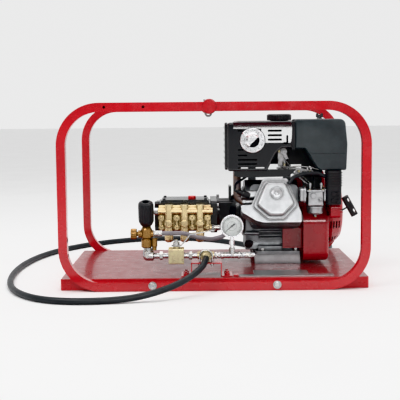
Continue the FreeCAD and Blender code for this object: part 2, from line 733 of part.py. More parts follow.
def make_fuel_cap():
    skirt = turned([(-6, 39.5), (-4, 40.5), (10, 40.5), (12.5, 38.5), (14.5, 34.0)],
                   (fuel_cap_x, fuel_cap_y, 500.0), Z_AXIS)
    skirt = skirt.cut(rod((fuel_cap_x, fuel_cap_y, 490), Z_AXIS, 31.0, 10.0))
    notches = []
    for index in range(24):
        notch = rod((fuel_cap_x + 42.0, fuel_cap_y, 492), Z_AXIS, 2.6, 18.0)
        notches.append(tilted(notch, (fuel_cap_x, fuel_cap_y, 0), Z_AXIS, 15 * index))
    cap = skirt.cut(notches)
    plug = rod((fuel_cap_x, fuel_cap_y, 489.5), Z_AXIS, 25.5, 11.0)
    return join(cap, plug)


def make_air_cleaner():
    # Box-shaped dry-element air cleaner: base plate, deep cover, paper element.
    x0 = 257.5
    x1 = 417.0
    y_front = -112.0
    outline = [
        (x0, y_front, 498), (x0, y_front, 408), (288, y_front, 408), (302, y_front, 387),
        (326, y_front, 346), (337, y_front, 339), (x1 - 1, y_front, 339), (x1 + 2, y_front, 420),
        (x1 - 6, y_front, 498),
    ]
    radii = (5.0, 3.0, 12.0, 20.0, 10.0, 8.0, 6.0, 40.0, 18.0)
    deep = 112.0
    cover = plate(outline, radii, (0, deep, 0))
    front_edges = []
    for edge in cover.Edges:
        if all(abs(vertex.Y - y_front) < 1e-6 for vertex in edge.Vertexes):
            front_edges.append(edge)
    cover = cover.makeFillet(4.0, front_edges)
    cavity = rounded_box(265, 405, y_front + 4, 30, 412, 492, 3.0)
    low_cavity = box(340, 405, y_front + 4, 30, 346, 420)
    cover = cover.cut(cavity).cut(low_cavity)
    seam = box(300, 440, y_front - 1, y_front + 1.0, 390.4, 392.0)
    cover = cover.cut(seam)
    stud_hole = rod((wing_nut_x, wing_nut_y, 480), Z_AXIS, 3.4, 30)
    cover = cover.cut(stud_hole)
    base = join(box(246, 257, -108, 0, 404, 490), box(246, 416, 0.5, 5.5, 352, 490),
                box(288, 356, 0.5, 5.5, 309, 353),
                box(288, 350, -32, 5.5, 309, 312), box(288, 350, -32, -29, 234, 312))
    base = base.cut(rod((314.0, -5, 338.0), Y_AXIS, 8.0, 16))
    element = rounded_box(275, 396, -96, -8, 415, 478, 8.0)
    element = element.cut(rounded_box(290, 380, -80, -24, 412, 470, 5.0))
    return cover, base, element


wing_nut_x = 338.0
wing_nut_y = -60.0


def make_wing_nut():
    hub = turned([(0, 8.0), (4, 7.0), (9, 5.0)], (wing_nut_x, wing_nut_y, 498.5), Z_AXIS)
    wing = box_rounded_along(wing_nut_x - 11, wing_nut_x + 11, wing_nut_y - 2, wing_nut_y + 2, 503,
                             516, Y_AXIS, 3.0)
    notch = box(wing_nut_x - 3.5, wing_nut_x + 3.5, wing_nut_y - 10, wing_nut_y + 10, 508, 520)
    nut = join(hub, wing.cut(notch))
    stud = rod((wing_nut_x, wing_nut_y, 479), Z_AXIS, 3.0, 32)
    return nut.cut(rod((wing_nut_x, wing_nut_y, 478), Z_AXIS, 3.0 + running_gap, 40)), stud


throat_y = -90.0
throat_z = 262.0
intake_x = 271.5
bowl_x = 321.0


def make_intake():
    # Ribbed elbow from the air cleaner down to the carburettor, the carburettor and its float bowl.
    elbow_box = box_rounded_along(353, 400, -124, -74, 232, 338.5, Z_AXIS, 10.0)
    ribs = []
    for index in range(6):
        z = 290 + index * 8.0
        ribs.append(box_rounded_along(351.5, 402.0, -126, -72, z, z + 3, Z_AXIS, 10.0))
    elbow = join(elbow_box, *ribs)
    elbow = elbow.cut(box_rounded_along(356.5, 396.5, -120.5, -77.5, 240, 345, Z_AXIS, 7.0))
    elbow = elbow.cut(rod((350, throat_y, throat_z), X_AXIS, 14.0, 12.0))
    body = rounded_box(294, 346, throat_y - 26, throat_y + 26, 226, 276, 7.0)
    throat = rod((285, throat_y, throat_z), X_AXIS, 17.5, 66.3)
    top_plate = box_rounded_along(290, 350, throat_y - 30, throat_y + 24, 273, 278, Z_AXIS, 6.0)
    flange = box_rounded_along(283, 289, throat_y - 32, throat_y + 30, 238, 288, X_AXIS, 10.0)
    outlet_flange = box_rounded_along(346, 351.3, throat_y - 26, throat_y + 24, 240, 284, X_AXIS, 8.0)
    shaft_boss = rod((312, throat_y - 20, throat_z - 2), -Y_AXIS, 7.0, 12.0)
    screw_boss = rod((334, throat_y - 20, throat_z - 14), -Y_AXIS, 5.0, 10.0)
    carb = join(body, throat, top_plate, flange, outlet_flange, shaft_boss, screw_boss)
    for x in (303, 338):
        carb = join(carb, rod((x, throat_y - 18, 276), Z_AXIS, 4.0, 24.0),
                    hex_rod((x, throat_y - 18, 292), Z_AXIS, 9.0, 6.0))
    carb = carb.cut(rod((270, throat_y, throat_z), X_AXIS, 14.0, 100))
    bowl = turned([(0, 14.0), (1.5, 22.0), (6, 26.0), (21, 26.5), (21, 28.5), (26, 28.5)],
                  (bowl_x, throat_y, 199.5), Z_AXIS)
    bolt = hex_rod((bowl_x, throat_y, 192.5), Z_AXIS, 11.0, 7.0)
    bowl = join(bowl, bolt)
    insulator = box_rounded_along(272, 282.5, throat_y - 30, throat_y + 28, 240, 286, X_AXIS, 8.0)
    insulator = insulator.cut(rod((260, throat_y, throat_z), X_AXIS, 14.0, 30))
    return elbow, carb, bowl, insulator


choke_pivot = (374.0, -126.2, 266.0)
fuel_valve_pivot = (374.0, -126.2, 246.0)
throttle_pivot = (224.0, -72.0, 398.0)


def make_levers():
    # Choke and fuel levers turn on short pins in the elbow; the throttle lever turns on the control plate.
    levers = {}
    pins = []
    for name, pivot, length, tilt_angle in (("choke_lever", choke_pivot, 15.0, 4.0),
                                            ("fuel_valve_lever", fuel_valve_pivot, 13.0, -14.0)):
        x, y, z = pivot
        disc = rod((x, y - 5.5, z), Y_AXIS, 6.0, 4.0)
        arm = box(x, x + length, y - 5.0, y - 2.0, z - 3.0, z + 3.0)
        knob = rod((x + length, y - 9.0, z), Y_AXIS, 5.0, 7.4)
        lever = join(disc, arm, knob)
        lever = tilted(lever, pivot, Y_AXIS, -tilt_angle)
        lever = lever.cut(rod((x, y - 10, z), Y_AXIS, 2.0 + running_gap, 20))
        levers[name] = lever
        pins.append(rod((x, y - 6.2, z), Y_AXIS, 2.0, 7.7))
    x, y, z = throttle_pivot
    disc = rod((x, y - 4.0, z), Y_AXIS, 10.0, 3.0)
    arm = box_rounded_along(x - 5, x + 5, y - 4.0, y - 1.0, z - 6, z + 26, Y_AXIS, 4.0)
    tab = box(x - 5, x + 5, y - 12.0, y - 2.0, z + 23, z + 26)
    lever = join(disc, arm, tab).cut(rod((x, y - 10, z), Y_AXIS, 4.0 + running_gap, 20))
    lever = tilted(lever, throttle_pivot, Y_AXIS, 160.0)
    levers["throttle_lever"] = lever
    return levers, pins


def make_control_plate():
    # Governor and throttle bracket between the muffler and the air cleaner, with its cable rod.
    upright = plate([(206, -70, 406), (206, -70, 350), (230, -70, 344), (230, -70, 406)], 3.0, (0, 3, 0))
    shelf = box(206, 262, -68, -20, 340, 344)
    stop_screw = rod((209, -84, 370), Y_AXIS, 2.5, 15)
    outline = [(238, -96, 346), (268, -96, 347), (316, -96, 337), (316, -96, 332), (264, -96, 322),
               (242, -96, 330)]
    lower = plate(outline, 1.5, (0, 3, 0))
    lower = lower.cut(rod((256, -100, 336), Y_AXIS, 4.0, 10)).cut(rod((282, -100, 334), Y_AXIS, 2.6, 10))
    fold = box(240, 262, -96, -60, 343, 346.5)
    pivot_pin = rod((throttle_pivot[0], throttle_pivot[1] - 5.0, throttle_pivot[2]), Y_AXIS, 4.0, 6.0)
    rod_link = swept([(222, -74, 366), (222, -84, 350), (250, -90, 334), (288, -101, 300)], 8.0, 1.6)
    return join(upright, shelf, pivot_pin, stop_screw, lower, fold), rod_link


spark_plug_at = (112.0, -112.0, 262.0)


def make_engine_small_parts():
    breather = swept([(232, -140, 300), (248, -134, 320), (284, -124, 331), (326, -116, 331),
                      (358, -106, 316)], 20.0, 6.0)
    plug_cap_axis = Vector(-0.9, -0.25, 0.35).normalize()
    cap = turned([(0, 11.0), (22, 11.0), (26, 8.0), (42, 7.0)], spark_plug_at, plug_cap_axis)
    ceramic = turned([(-20, 7.0), (-8, 10.0), (-2, 6.0), (14, 5.0)], spark_plug_at, plug_cap_axis)
    fuel_line = swept([(310, 60, 351.8), (310, 58, 344), (312, 16, 342.5), (318, -44, 322),
                       (320, -76, 304), (320, -82, 278.2)], 5.0, 3.0)
    return breather, cap, ceramic, fuel_line


filler_axis = Vector(-0.35, -0.94, 0).normalize()
filler_at = Vector(120, -38, 102)


def make_oil_filler():
    neck = ring(filler_at, filler_axis, 10.0, 6.5, 16.0)
    cap = turned([(16.5, 13.0), (22, 13.0), (24, 11.0)], filler_at, filler_axis)
    stem = rod(filler_at + filler_axis * 4.0, filler_axis, 6.0, 13.0)
    grip_start = filler_at + filler_axis * 24.0
    grip = box(-11, 11, -2.5, 2.5, -1, 7)
    grip.Placement = FreeCAD.Placement(grip_start, FreeCAD.Rotation(Z_AXIS, filler_axis))
    return neck, join(cap, stem, grip)


# ---------------------------------------------------------------- pump

def make_pump_adapter():
    # Bell housing between the pump and the engine, flanged at both ends.
    bell = turned([(0, 56.0), (8, 56.0), (8, 44.0), (40, 44.0), (62, 62.0), (73, 66.0)],
                  (14.0, crank_y, crank_z), X_AXIS)
    low_web = box_rounded_along(22, 84, crank_y - 44, crank_y + 44, crank_z - 46, crank_z + 40, X_AXIS, 8.0)
    bell = join(bell, low_web)
    bell = bell.cut(rod((10, crank_y, crank_z), X_AXIS, 32.0, 90))
    flange = box_rounded_along(-7, 13.5, -52, 128, 138, 240, X_AXIS, 8.0)
    flange = flange.cut(rod((-20, crank_y, crank_z), X_AXIS, 32.0, 50))
    step = box_rounded_along(54, 62, 40, 100, 232, 280, X_AXIS, 3.0)
    adapter = join(bell, flange, step)
    bolts = []
    for y in (-44, 120):
        for z in (150, 226):
            head = hex_rod((13.6, y, z), X_AXIS, 10.0, 5.0)
            adapter = adapter.cut(rod((-10, y, z), X_AXIS, 4.0, 30))
            bolts.append(join(head, rod((-7, y, z), X_AXIS, 3.9, 21.0)))
    return adapter.cut(bolts), group(*bolts)


def make_coupling():
    hub = rod((-6, crank_y, crank_z), X_AXIS, 22.0, 58)
    hub = hub.cut(rod((36, crank_y, crank_z), X_AXIS, shaft_radius, 20))
    pump_shaft = rod((-170, crank_y, crank_z), X_AXIS, 12.0, 163.5)
    lobes = []
    for index, x in enumerate((-140, -90, -42)):
        angle = 120 * index
        lobe = rod((x - 8, crank_y, crank_z + 5), X_AXIS, 20.0, 16)
        lobes.append(tilted(lobe, (0, crank_y, crank_z), X_AXIS, angle))
    return hub, join(pump_shaft, *lobes)


column_x = (-140.5, -90.5, -41.5)
boss_x = (-164.0, -115.5, -66.5, -18.0)
gallery_z = 211.0
inlet_port_z = 156.0
oil_cap_x = -67.0
oil_cap_y = 0.0


def make_pump_crankcase():
    # Cast crankcase with a raised lid and a plunger guide in front of each cylinder.  It has no feet:
    # its flange hangs it on the engine's adapter.
    body = box_rounded_along(-176, -7.5, -22, 132, 142, 230, X_AXIS, 10.0)
    lid = box_rounded_along(-168, -12, -32, 84, 220, 243, Y_AXIS, 9.0)
    guides = box_rounded_along(-170, -14, manifold_back, -20, 150, 236, Y_AXIS, 6.0)
    lugs = []
    for y, z in ((-36, 232), (-36, 150)):
        lugs.append(rod((-186, y, z), X_AXIS, 7.0, 16))
    side_plate = box_rounded_along(-187, -176, -34.5, 128, 148.5, 227, X_AXIS, 9.0)
    crankcase = join(body, lid, guides, side_plate, *lugs)
    cavity = rod((-171, crank_y, crank_z), X_AXIS, 35.5, 164.5)
    crankcase = crankcase.cut(cavity)
    crankcase = crankcase.cut(rod((-20, crank_y, crank_z), X_AXIS, 24.0, 30))
    for x in column_x:
        crankcase = crankcase.cut(rod((x, manifold_back - 1, crank_z), Y_AXIS, 9.5, 76.0))
    crankcase = crankcase.cut(rod((oil_cap_x, oil_cap_y, 235), Z_AXIS, 9.0, 30))
    return crankcase


def make_plungers():
    solids = []
    for x in column_x:
        solids.append(rod((x, manifold_back - 24, crank_z), Y_AXIS, 9.0, 70.0))
    return group(*solids)


def make_pump_manifold():
    # Forged brass head: a block with three valve columns, a gallery between them and bolt bosses.
    block = box_rounded_along(pump_x0, pump_x1, manifold_face + 22, manifold_back, 146, 229, X_AXIS, 9.0)
    solids = [block]
    for x in column_x:
        column = rod((x, manifold_face + 15, 128), Z_AXIS, 13.5, 40)
        nose = box_rounded_along(x - 12, x + 12, manifold_face + 2, manifold_face + 40, 150, 232,
                                 Z_AXIS, 7.0)
        solids.append(column)
        solids.append(nose)
    gallery_y = manifold_face + 14
    gallery = rod((pump_x0 - 2, gallery_y, gallery_z), X_AXIS, 11.2, pump_x1 - pump_x0 + 8)
    solids.append(gallery)
    for x in boss_x:
        pocket = rod((x, manifold_face + 30, 191.0), -Y_AXIS, 9.5, 24.0)
        low = rod((x, manifold_face + 30, 160.0), -Y_AXIS, 8.0, 18.0)
        neck = box_rounded_along(x - 6, x + 6, manifold_face + 14, manifold_face + 34, 160, 191,
                                 Z_AXIS, 4.0)
        solids.append(join(pocket, low, neck))
    manifold = join(*solids)
    manifold = manifold.cut(rod((pump_x0 - 10, gallery_y, gallery_z), X_AXIS, 6.0, 18))
    inlet_y = manifold_face + 30
    manifold = join(manifold, rod((pump_x1 - 30, inlet_y, inlet_port_z), X_AXIS, 12.0, 33))
    manifold = manifold.cut(rod((pump_x1 - 10, inlet_y, inlet_port_z), X_AXIS, 8.0, 20))
    for x in column_x:
        manifold = manifold.cut(rod((x, manifold_back + 1, crank_z), -Y_AXIS, 9.2, 26.0))
    return manifold


def make_manifold_trim():
    bolts = []
    for x in boss_x:
        for z, reach in ((191.0, manifold_face + 6), (160.0, manifold_face + 12)):
            socket = rod((x, reach, z), -Y_AXIS, 5.6, 4.5)
            bolts.append(socket.cut(hex_rod((x, reach - 2.0, z), -Y_AXIS, 5.5, 4.0)))
    caps = []
    for x in column_x:
        upper = turned([(0, 12.5), (3.0, 12.5), (5.0, 10.5), (5.5, 6.0)],
                       (x, manifold_face + 2, 173.0), -Y_AXIS)
        lower = turned([(0, 13.5), (6, 13.5), (12, 12.0), (15, 7.0)],
                       (x, manifold_face + 15, 128.0), -Z_AXIS)
        caps.append(upper)
        caps.append(lower)
    return group(*bolts), group(*caps)


def make_pump_oil_cap():
    cap = turned([(0, 13.0), (7, 13.0), (9, 11.5)], (oil_cap_x, oil_cap_y, 243.5), Z_AXIS)
    notches = []
    for index in range(8):
        notch = rod((oil_cap_x + 14.0, oil_cap_y, 243), Z_AXIS, 2.2, 12.0)
        notches.append(tilted(notch, (oil_cap_x, oil_cap_y, 0), Z_AXIS, 45 * index))
    return join(cap.cut(notches), rod((oil_cap_x, oil_cap_y, 236), Z_AXIS, 8.5, 8.0))


# ---------------------------------------------------------------- pipework

inlet_z = 160.0
unloader_axis = Vector(0, -math.sin(math.radians(knob_tilt)), math.cos(math.radians(knob_tilt)))
knob_base = Vector(knob_x, pipe_y + 4, 180.0)


def make_unloader():
    # Unloader valve: upright brass body, inlet tail to the left, bypass outlet to the right.
    x = knob_x
    body = turned([(0, 12.0), (3, 16.0), (24, 16.0), (28, 13.0), (32, 17.0), (55, 17.0),
                   (60, 14.0)], (x, pipe_y, 118.0), Z_AXIS)
    bonnet = turned([(-6, 13.0), (8, 13.0), (10, 9.0), (26, 9.0)], knob_base, unloader_axis)
    cross = rod((x - 25, pipe_y, inlet_z), X_AXIS, 11.0, 46)
    drain = turned([(0, 6.0), (2, 9.0), (26, 9.0), (28, 7.0), (38, 7.0)], (x + 23, pipe_y, 148.0), -Z_AXIS)
    tee_back = rod((x, pipe_y, 168), Y_AXIS, 10.0, 26)
    body = join(body, bonnet, cross, drain, tee_back)
    return body.cut(rod((x - 40, pipe_y, inlet_z), X_AXIS, 7.0, 22))


knob_profile = [(0, 12.0), (6, 18.0), (16, 22.5), (24, 23.2), (68, 23.2), (75, 21.0), (79, 15.0)]


def make_knob():
    # Pressure-setting knob with shallow flutes and a screw sunk in its top.
    base = knob_base + unloader_axis * 4.0
    knob = turned(knob_profile, (0, 0, 0), Z_AXIS)
    flutes = []
    for index in range(8):
        flute = rod((26.5, 0, 20), Z_AXIS, 5.5, 70)
        flutes.append(tilted(flute, (0, 0, 0), Z_AXIS, 45 * index))
    knob = knob.cut(flutes)
    knob = knob.cut(rod((0, 0, 66), Z_AXIS, 10.5, 20))
    knob = knob.cut(rod((0, 0, -1), Z_AXIS, 13.0 + clearance, 10))
    knob = knob.cut(rod((0, 0, -1), Z_AXIS, 9.0 + clearance, 34))
    screw = turned([(58, 4.0), (69, 4.0), (69, 6.0), (71.5, 6.0), (73, 4.5)], (0, 0, 0), Z_AXIS)
    slot = box(-7, 7, -0.8, 0.8, 71.5, 75)
    knob = knob.cut(rod((0, 0, 57), Z_AXIS, 4.0, 12))
    screw = screw.cut(slot)
    turn = FreeCAD.Placement(base, FreeCAD.Rotation(Z_AXIS, unloader_axis))
    knob.Placement = turn
    screw.Placement = turn
    return knob, screw


inlet_hose_radius = 12.5


def make_inlet_swivel():
    # Female garden-hose swivel: the nut turns on the tailpiece that is screwed into the unloader.
    tail = ring((knob_x - 34, pipe_y, inlet_z), X_AXIS, 6.8, 4.5, 22.0)
    collar = ring((knob_x - 37.0, pipe_y, inlet_z), X_AXIS, 9.0, 4.5, 3.0)
    tail = join(tail, collar)
    nut = turned([(0, 15.0), (2, 16.0), (16, 16.0), (18, 14.0)], (knob_x - 47, pipe_y, inlet_z), X_AXIS)
    nut = nut.cut(rod((knob_x - 50, pipe_y, inlet_z), X_AXIS, inlet_hose_radius, 13.0))
    nut = nut.cut(rod((knob_x - 37.5, pipe_y, inlet_z), X_AXIS, 9.0 + running_gap, 4.1))
    nut = nut.cut(rod((knob_x - 50, pipe_y, inlet_z), X_AXIS, 6.8 + running_gap, 30))
    flats = []
    for index in range(6):
        flat = rod((knob_x - 48, pipe_y, inlet_z + 19.0), X_AXIS, 4.0, 30)
        flats.append(tilted(flat, (0, pipe_y, inlet_z), X_AXIS, 60 * index))
    return tail, nut.cut(flats)


def make_outlet_elbow():
    # Plated fitting that takes pump delivery from the gallery's left port to the unloader.
    gallery_y = manifold_face + 14
    tail = rod((pump_x0 - 16, gallery_y, gallery_z), X_AXIS, 5.8, 24)
    nut = hex_rod((pump_x0 - 14, gallery_y, gallery_z), X_AXIS, 19.0, 11.0)
    pipe = swept([(pump_x0 - 12, gallery_y, gallery_z), (knob_x + 2, gallery_y, gallery_z),
                  (knob_x, gallery_y - 26, 190.0),
                  (knob_x, pipe_y + 46, 168.0), (knob_x, pipe_y + 26.5, 168.0)], 13.0, 7.5)
    return join(tail, nut, pipe)


def hex_nipple(x0, x1, across=17.0, pipe_radius=8.0):
    # A hexagon in the middle of a short pipe nipple along X.
    middle = (x0 + x1) / 2
    nut = hex_rod((middle - 4.5, pipe_y, pipe_z), X_AXIS, across, 9.0)
    return join(rod((x0, pipe_y, pipe_z), X_AXIS, pipe_radius, x1 - x0), nut)


valve_x0 = -137.0
valve_x1 = -91.0


def make_lower_pipe():
    # Elbow under the unloader and the nipples up to and after the ball valve.
    elbow_z = pipe_z
    elbow = join(
        turned([(0, 15.0), (14, 15.0), (16, 13.0), (25, 12.0)], (knob_x + 3, pipe_y, elbow_z), Z_AXIS),
        Part.makeSphere(15.0, Vector(knob_x + 3, pipe_y, elbow_z)),
        turned([(0, 15.0), (16, 15.0), (18, 12.0)], (knob_x + 3, pipe_y, elbow_z), X_AXIS),
    )
    elbow = elbow.cut(rod((knob_x, pipe_y, 118.0), Z_AXIS, 20.0, 20))
    nipple = hex_nipple(knob_x + 21, valve_x0, 22.0, 8.5)
    nipple_2 = hex_nipple(valve_x1, -51.0, 22.0, 8.5)
    return join(elbow, nipple), nipple_2


def make_ball_valve():
    body = box_rounded_along(valve_x0, valve_x1, pipe_y - 22.5, pipe_y + 22.5, 70, 116, X_AXIS, 3.0)
    body = body.cut(rod((valve_x0 - 1, pipe_y, pipe_z), X_AXIS, 8.5, 8))
    body = body.cut(rod((valve_x1 - 7, pipe_y, pipe_z), X_AXIS, 8.5, 8))
    body = body.cut(rod((valve_x0 - 1, pipe_y, pipe_z), X_AXIS, 7.0, 60))
    middle_x = (valve_x0 + valve_x1) / 2
    body = body.cut(Part.makeSphere(14.0 + running_gap, Vector(middle_x, pipe_y, pipe_z)))
    body = body.cut(rod((middle_x, pipe_y, pipe_z), Z_AXIS, 6.0 + running_gap, 40))
    gland = ring((middle_x, pipe_y, 116.0), Z_AXIS, 10.0, 6.0 + running_gap, 5.0)
    body = join(body, gland)
    ball = Part.makeSphere(14.0, Vector(middle_x, pipe_y, pipe_z))
    ball = join(ball, rod((middle_x, pipe_y, pipe_z), Z_AXIS, 6.0, 30.0))
    ball = ball.cut(rod((middle_x - 20, pipe_y, pipe_z), X_AXIS, 7.0, 40))
    # The lever is a bent steel strip held on the stem by a nut.
    lever_points = [
        (middle_x - 13, 123.5), (middle_x + 15, 123.5), (middle_x + 43, 158.0), (middle_x + 108, 168.5),
    ]
    strip = []
    for index in range(3):
        xa, za = lever_points[index]
        xb, zb = lever_points[index + 1]
        length = math.hypot(xb - xa, zb - za)
        piece = box(-1.0, length + 1.0, -8, 8, -1.5, 1.5)
        angle = -math.degrees(math.atan2(zb - za, xb - xa))
        piece.Placement = FreeCAD.Placement(Vector(xa, pipe_y, za), FreeCAD.Rotation(Y_AXIS, angle))
        strip.append(piece)
    end = ring((middle_x + 109, pipe_y, 166.5), Z_AXIS, 10.0, 4.5, 4.0)
    lever = join(*strip, end)
    lever = lever.cut(rod((middle_x + 109, pipe_y, 150), Z_AXIS, 4.5, 40))
    lever = lever.cut(rod((middle_x, pipe_y, 110), Z_AXIS, 6.0, 40))
    nut = join(rod((middle_x, pipe_y, 123.0), Z_AXIS, 5.0, 18.0),
               hex_rod((middle_x, pipe_y, 125.5), Z_AXIS, 17.0, 9.0))
    return body, ball, lever, nut


def make_hose_tee():
    x = hose_outlet_x
    tee = join(
        rod((-50.5, pipe_y, pipe_z), X_AXIS, 12.0, 50.0),
        turned([(-15, 12.5), (-10, 15.5), (-5, 16.5), (5, 16.5), (10, 15.5), (15, 12.5)],
               (x, pipe_y, pipe_z), X_AXIS),
        rod((x, pipe_y, pipe_z), -Y_AXIS, 13.0, 32.5),
        hex_rod((x, pipe_y - 23.5, pipe_z), -Y_AXIS, 30.0, 9.0),
    )
    return tee


gauge_tee_x1 = 80.0


def make_gauge_tee():
    link_x0 = -0.4
    link = join(rod((link_x0, pipe_y, pipe_z), X_AXIS, 7.0, 30.0),
                hex_rod((2.5, pipe_y, pipe_z), X_AXIS, 17.0, 6.0),
                hex_rod((12.5, pipe_y, pipe_z), X_AXIS, 15.0, 6.0))
    tee = join(
        link,
        rod((21, pipe_y, pipe_z), X_AXIS, 9.0, gauge_tee_x1 - 21),
        rod((21, pipe_y, pipe_z), X_AXIS, 11.0, 7.0),
        rod((gauge_tee_x1 - 9, pipe_y, pipe_z), X_AXIS, 11.0, 7.0),
        rod((gauge_x, pipe_y, pipe_z), Z_AXIS, 9.5, 22.0),
        hex_rod((gauge_tee_x1, pipe_y, pipe_z), X_AXIS, 14.0, 7.0),
        rod((gauge_tee_x1 + 6, pipe_y, pipe_z), X_AXIS, 8.5, 18.0),
        hex_rod((gauge_tee_x1 + 24, pipe_y, pipe_z), X_AXIS, 17.0, 8.0),
        rod((gauge_tee_x1 + 32, pipe_y, pipe_z), X_AXIS, 7.0, 10.0),
    )
    return tee


def make_gauge():
    # Bourdon gauge: case with bezel and stem, dial plate, needle on a pin, lens.
    x, z = gauge_x, gauge_z
    stem = join(
        rod((x, pipe_y, 115.2), Z_AXIS, 6.5, 40.0),
        hex_rod((x, pipe_y, 124.0), Z_AXIS, 14.0, 12.0),
    )
    back = pipe_y + 14.0
    front = pipe_y - 16.0
    case = turned([(0, 28.0), (3, gauge_radius - 3), (24, gauge_radius - 3), (24, gauge_radius),
                   (30, gauge_radius), (30.01, gauge_radius - 1)],
                  (x, back, z), -Y_AXIS)
    case = join(case, stem)
    case = case.cut(rod((x, front - 1, z), Y_AXIS, gauge_radius - 4.5, 9.0))
    dial = rod((x, front + 6.5, z), Y_AXIS, gauge_radius - 4.6, 1.5)
    pin = rod((x, front + 3.6, z), Y_AXIS, 1.0, 2.9)
    dial = join(dial, pin)
    lens = rod((x, front + 1.0, z), Y_AXIS, gauge_radius - 4.6, 2.0)
    # The needle points to the lower left at rest, with a broad counterweight behind the pin.
    pointer = plate([(-1.6, 0, 0), (-0.5, 0, 24.0), (0.5, 0, 24.0), (1.6, 0, 0)], 0.2, (0, 0.8, 0))
    weight = plate([(-1.4, 0, 0), (1.4, 0, 0), (2.8, 0, -11.0), (-2.8, 0, -11.0)], 0.3, (0, 0.8, 0))
    boss = rod((0, 0, 0), Y_AXIS, 3.0, 0.8)
    needle = join(pointer, weight, boss).cut(rod((0, -1, 0), Y_AXIS, 1.0 + running_gap, 4))
    needle.rotate(Vector(0, 0, 0), Y_AXIS, -130.0)
    needle.translate(Vector(x, front + 4.6, z))
    return case, dial, lens, needle


def make_pipe_bracket():
    # Hat-section bracket that holds the tee, bolted to the tray through its two feet.
    y0, y1 = -262.0, -190.0
    top = 76.0
    sheet = 3.0
    bracket = join(
        box(-99, -67, y0, y1, tray_top, tray_top + sheet),
        box(-70, -67, y0, y1, tray_top, top),
        box(-70, 22, y0, y1, top - sheet, top),
        box(19, 22, y0, y1, tray_top, top),
        box(19, 54, y0, y1, tray_top, tray_top + sheet),
    )
    u_holes = []
    for side in (-18.5, 18.5):
        u_holes.append(rod((hose_outlet_x + side, pipe_y - 18.5, top - 10), Z_AXIS, 3.4, 20))
    bracket = bracket.cut(u_holes)
    bolts = []
    for x in (-85, 38):
        for y in (-242, -208):
            bracket = bracket.cut(rod((x, y, tray_top - 1), Z_AXIS, 4.3, 10))
            bolts.append(join(rod((x, y, tray_top), Z_AXIS, 4.0, 14.0),
                              hex_rod((x, y, tray_top + sheet), Z_AXIS, 13.0, 6.0),
                              rod((x, y, tray_top + sheet), Z_AXIS, 9.0, 1.5)))
    u_y = pipe_y - 18.5
    leg = 18.5
    u_points = [
        (hose_outlet_x - leg, u_y, 62), (hose_outlet_x - leg, u_y, pipe_z + 17 + 1.5),
        (hose_outlet_x + leg, u_y, pipe_z + 17 + 1.5), (hose_outlet_x + leg, u_y, 62),
    ]
    u_bolt = swept(u_points, leg - 0.1, 3.0)
    nuts = []
    for side in (-leg, leg):
        nuts.append(hex_rod((hose_outlet_x + side, u_y, top - sheet - 6), Z_AXIS, 10.0, 6.0))
    u_bolt = join(u_bolt, *nuts)
    tab = box(56, 72, -262, -250, tray_top, tray_top + 6)
    return bracket, group(*bolts), u_bolt, tab


def make_bypass_hose():
    # Grey bypass hose from the unloader to the pump's inlet, with a crimp at each end.
    inlet_y = manifold_face + 30
    start_x = knob_x + 21
    route = [
        (start_x + 12, pipe_y, inlet_z + 1), (start_x + 42, pipe_y, inlet_z + 1),
        (-92, -203, 158), (-50, -196, 144), (-8, -190, 136),
        (26, -172, 142), (40, -140, 150), (40, -100, 154),
        (38, inlet_y, inlet_port_z), (21, inlet_y, inlet_port_z),
    ]
    radii = (0, 50.0, 50.0, 50.0, 50.0, 30.0, 28.0, 60.0, 12.0, 0)
    hose = swept(route, radii, 6.8)
    start_fit = join(rod((start_x - 0.5, pipe_y, inlet_z + 1), X_AXIS, 6.0, 12.5),
                     ring((start_x + 10, pipe_y, inlet_z + 1), X_AXIS, 8.6, 6.8, 16),
                     rod((start_x + 1, pipe_y, inlet_z + 1), X_AXIS, 8.6, 10))
    end_fit = join(rod((pump_x1 + 1, inlet_y, inlet_port_z), X_AXIS, 7.8, 14),
                   hex_rod((pump_x1 + 3.2, inlet_y, inlet_port_z), X_AXIS, 19.0, 8.0),
                   rod((pump_x1 + 11, inlet_y, inlet_port_z), X_AXIS, 9.0, 17.8))
    hose = hose.cut(end_fit)
    return hose, group(start_fit, end_fit)


# ---------------------------------------------------------------- delivery hose

# The route's points are chosen by hand: out of the tee, down over the frame's front bar, round the
# pump end of the frame on the ground, and in behind the engine to the coil.
floor_z = hose_diameter / 2
hose_start_y = -264.0
hose_route = [
    (hose_outlet_x, hose_start_y, pipe_z), (hose_outlet_x, -308, pipe_z), (-40, -358, 76), (-82, -408, 52),
    (-150, -441, 28), (-244, -464, floor_z), (-390, -486, floor_z), (-500, -446, floor_z),
    (-586, -330, floor_z), (-630, -180, floor_z), (-650, 0, floor_z),
    (-644, 180, floor_z), (-612, 350, floor_z), (-542, 510, floor_z), (-430, 646, floor_z),
    (-290, 736, floor_z),
    (-130, 758, floor_z), (0, 708, floor_z), (84, 622, floor_z), (140, 548, floor_z), (156, 497, floor_z),
]


def cord_radii(points):
    radii = [0.0]
    for index in range(1, len(points) - 1):
        a, b, c = (Vector(*points[index - 1]), Vector(*points[index]), Vector(*points[index + 1]))
        turn = (b - a).getAngle(c - b)
        shorter = min((b - a).Length, (c - b).Length)
        radii.append(0.45 * shorter / math.tan(turn / 2))
    radii.append(0.0)
    return radii


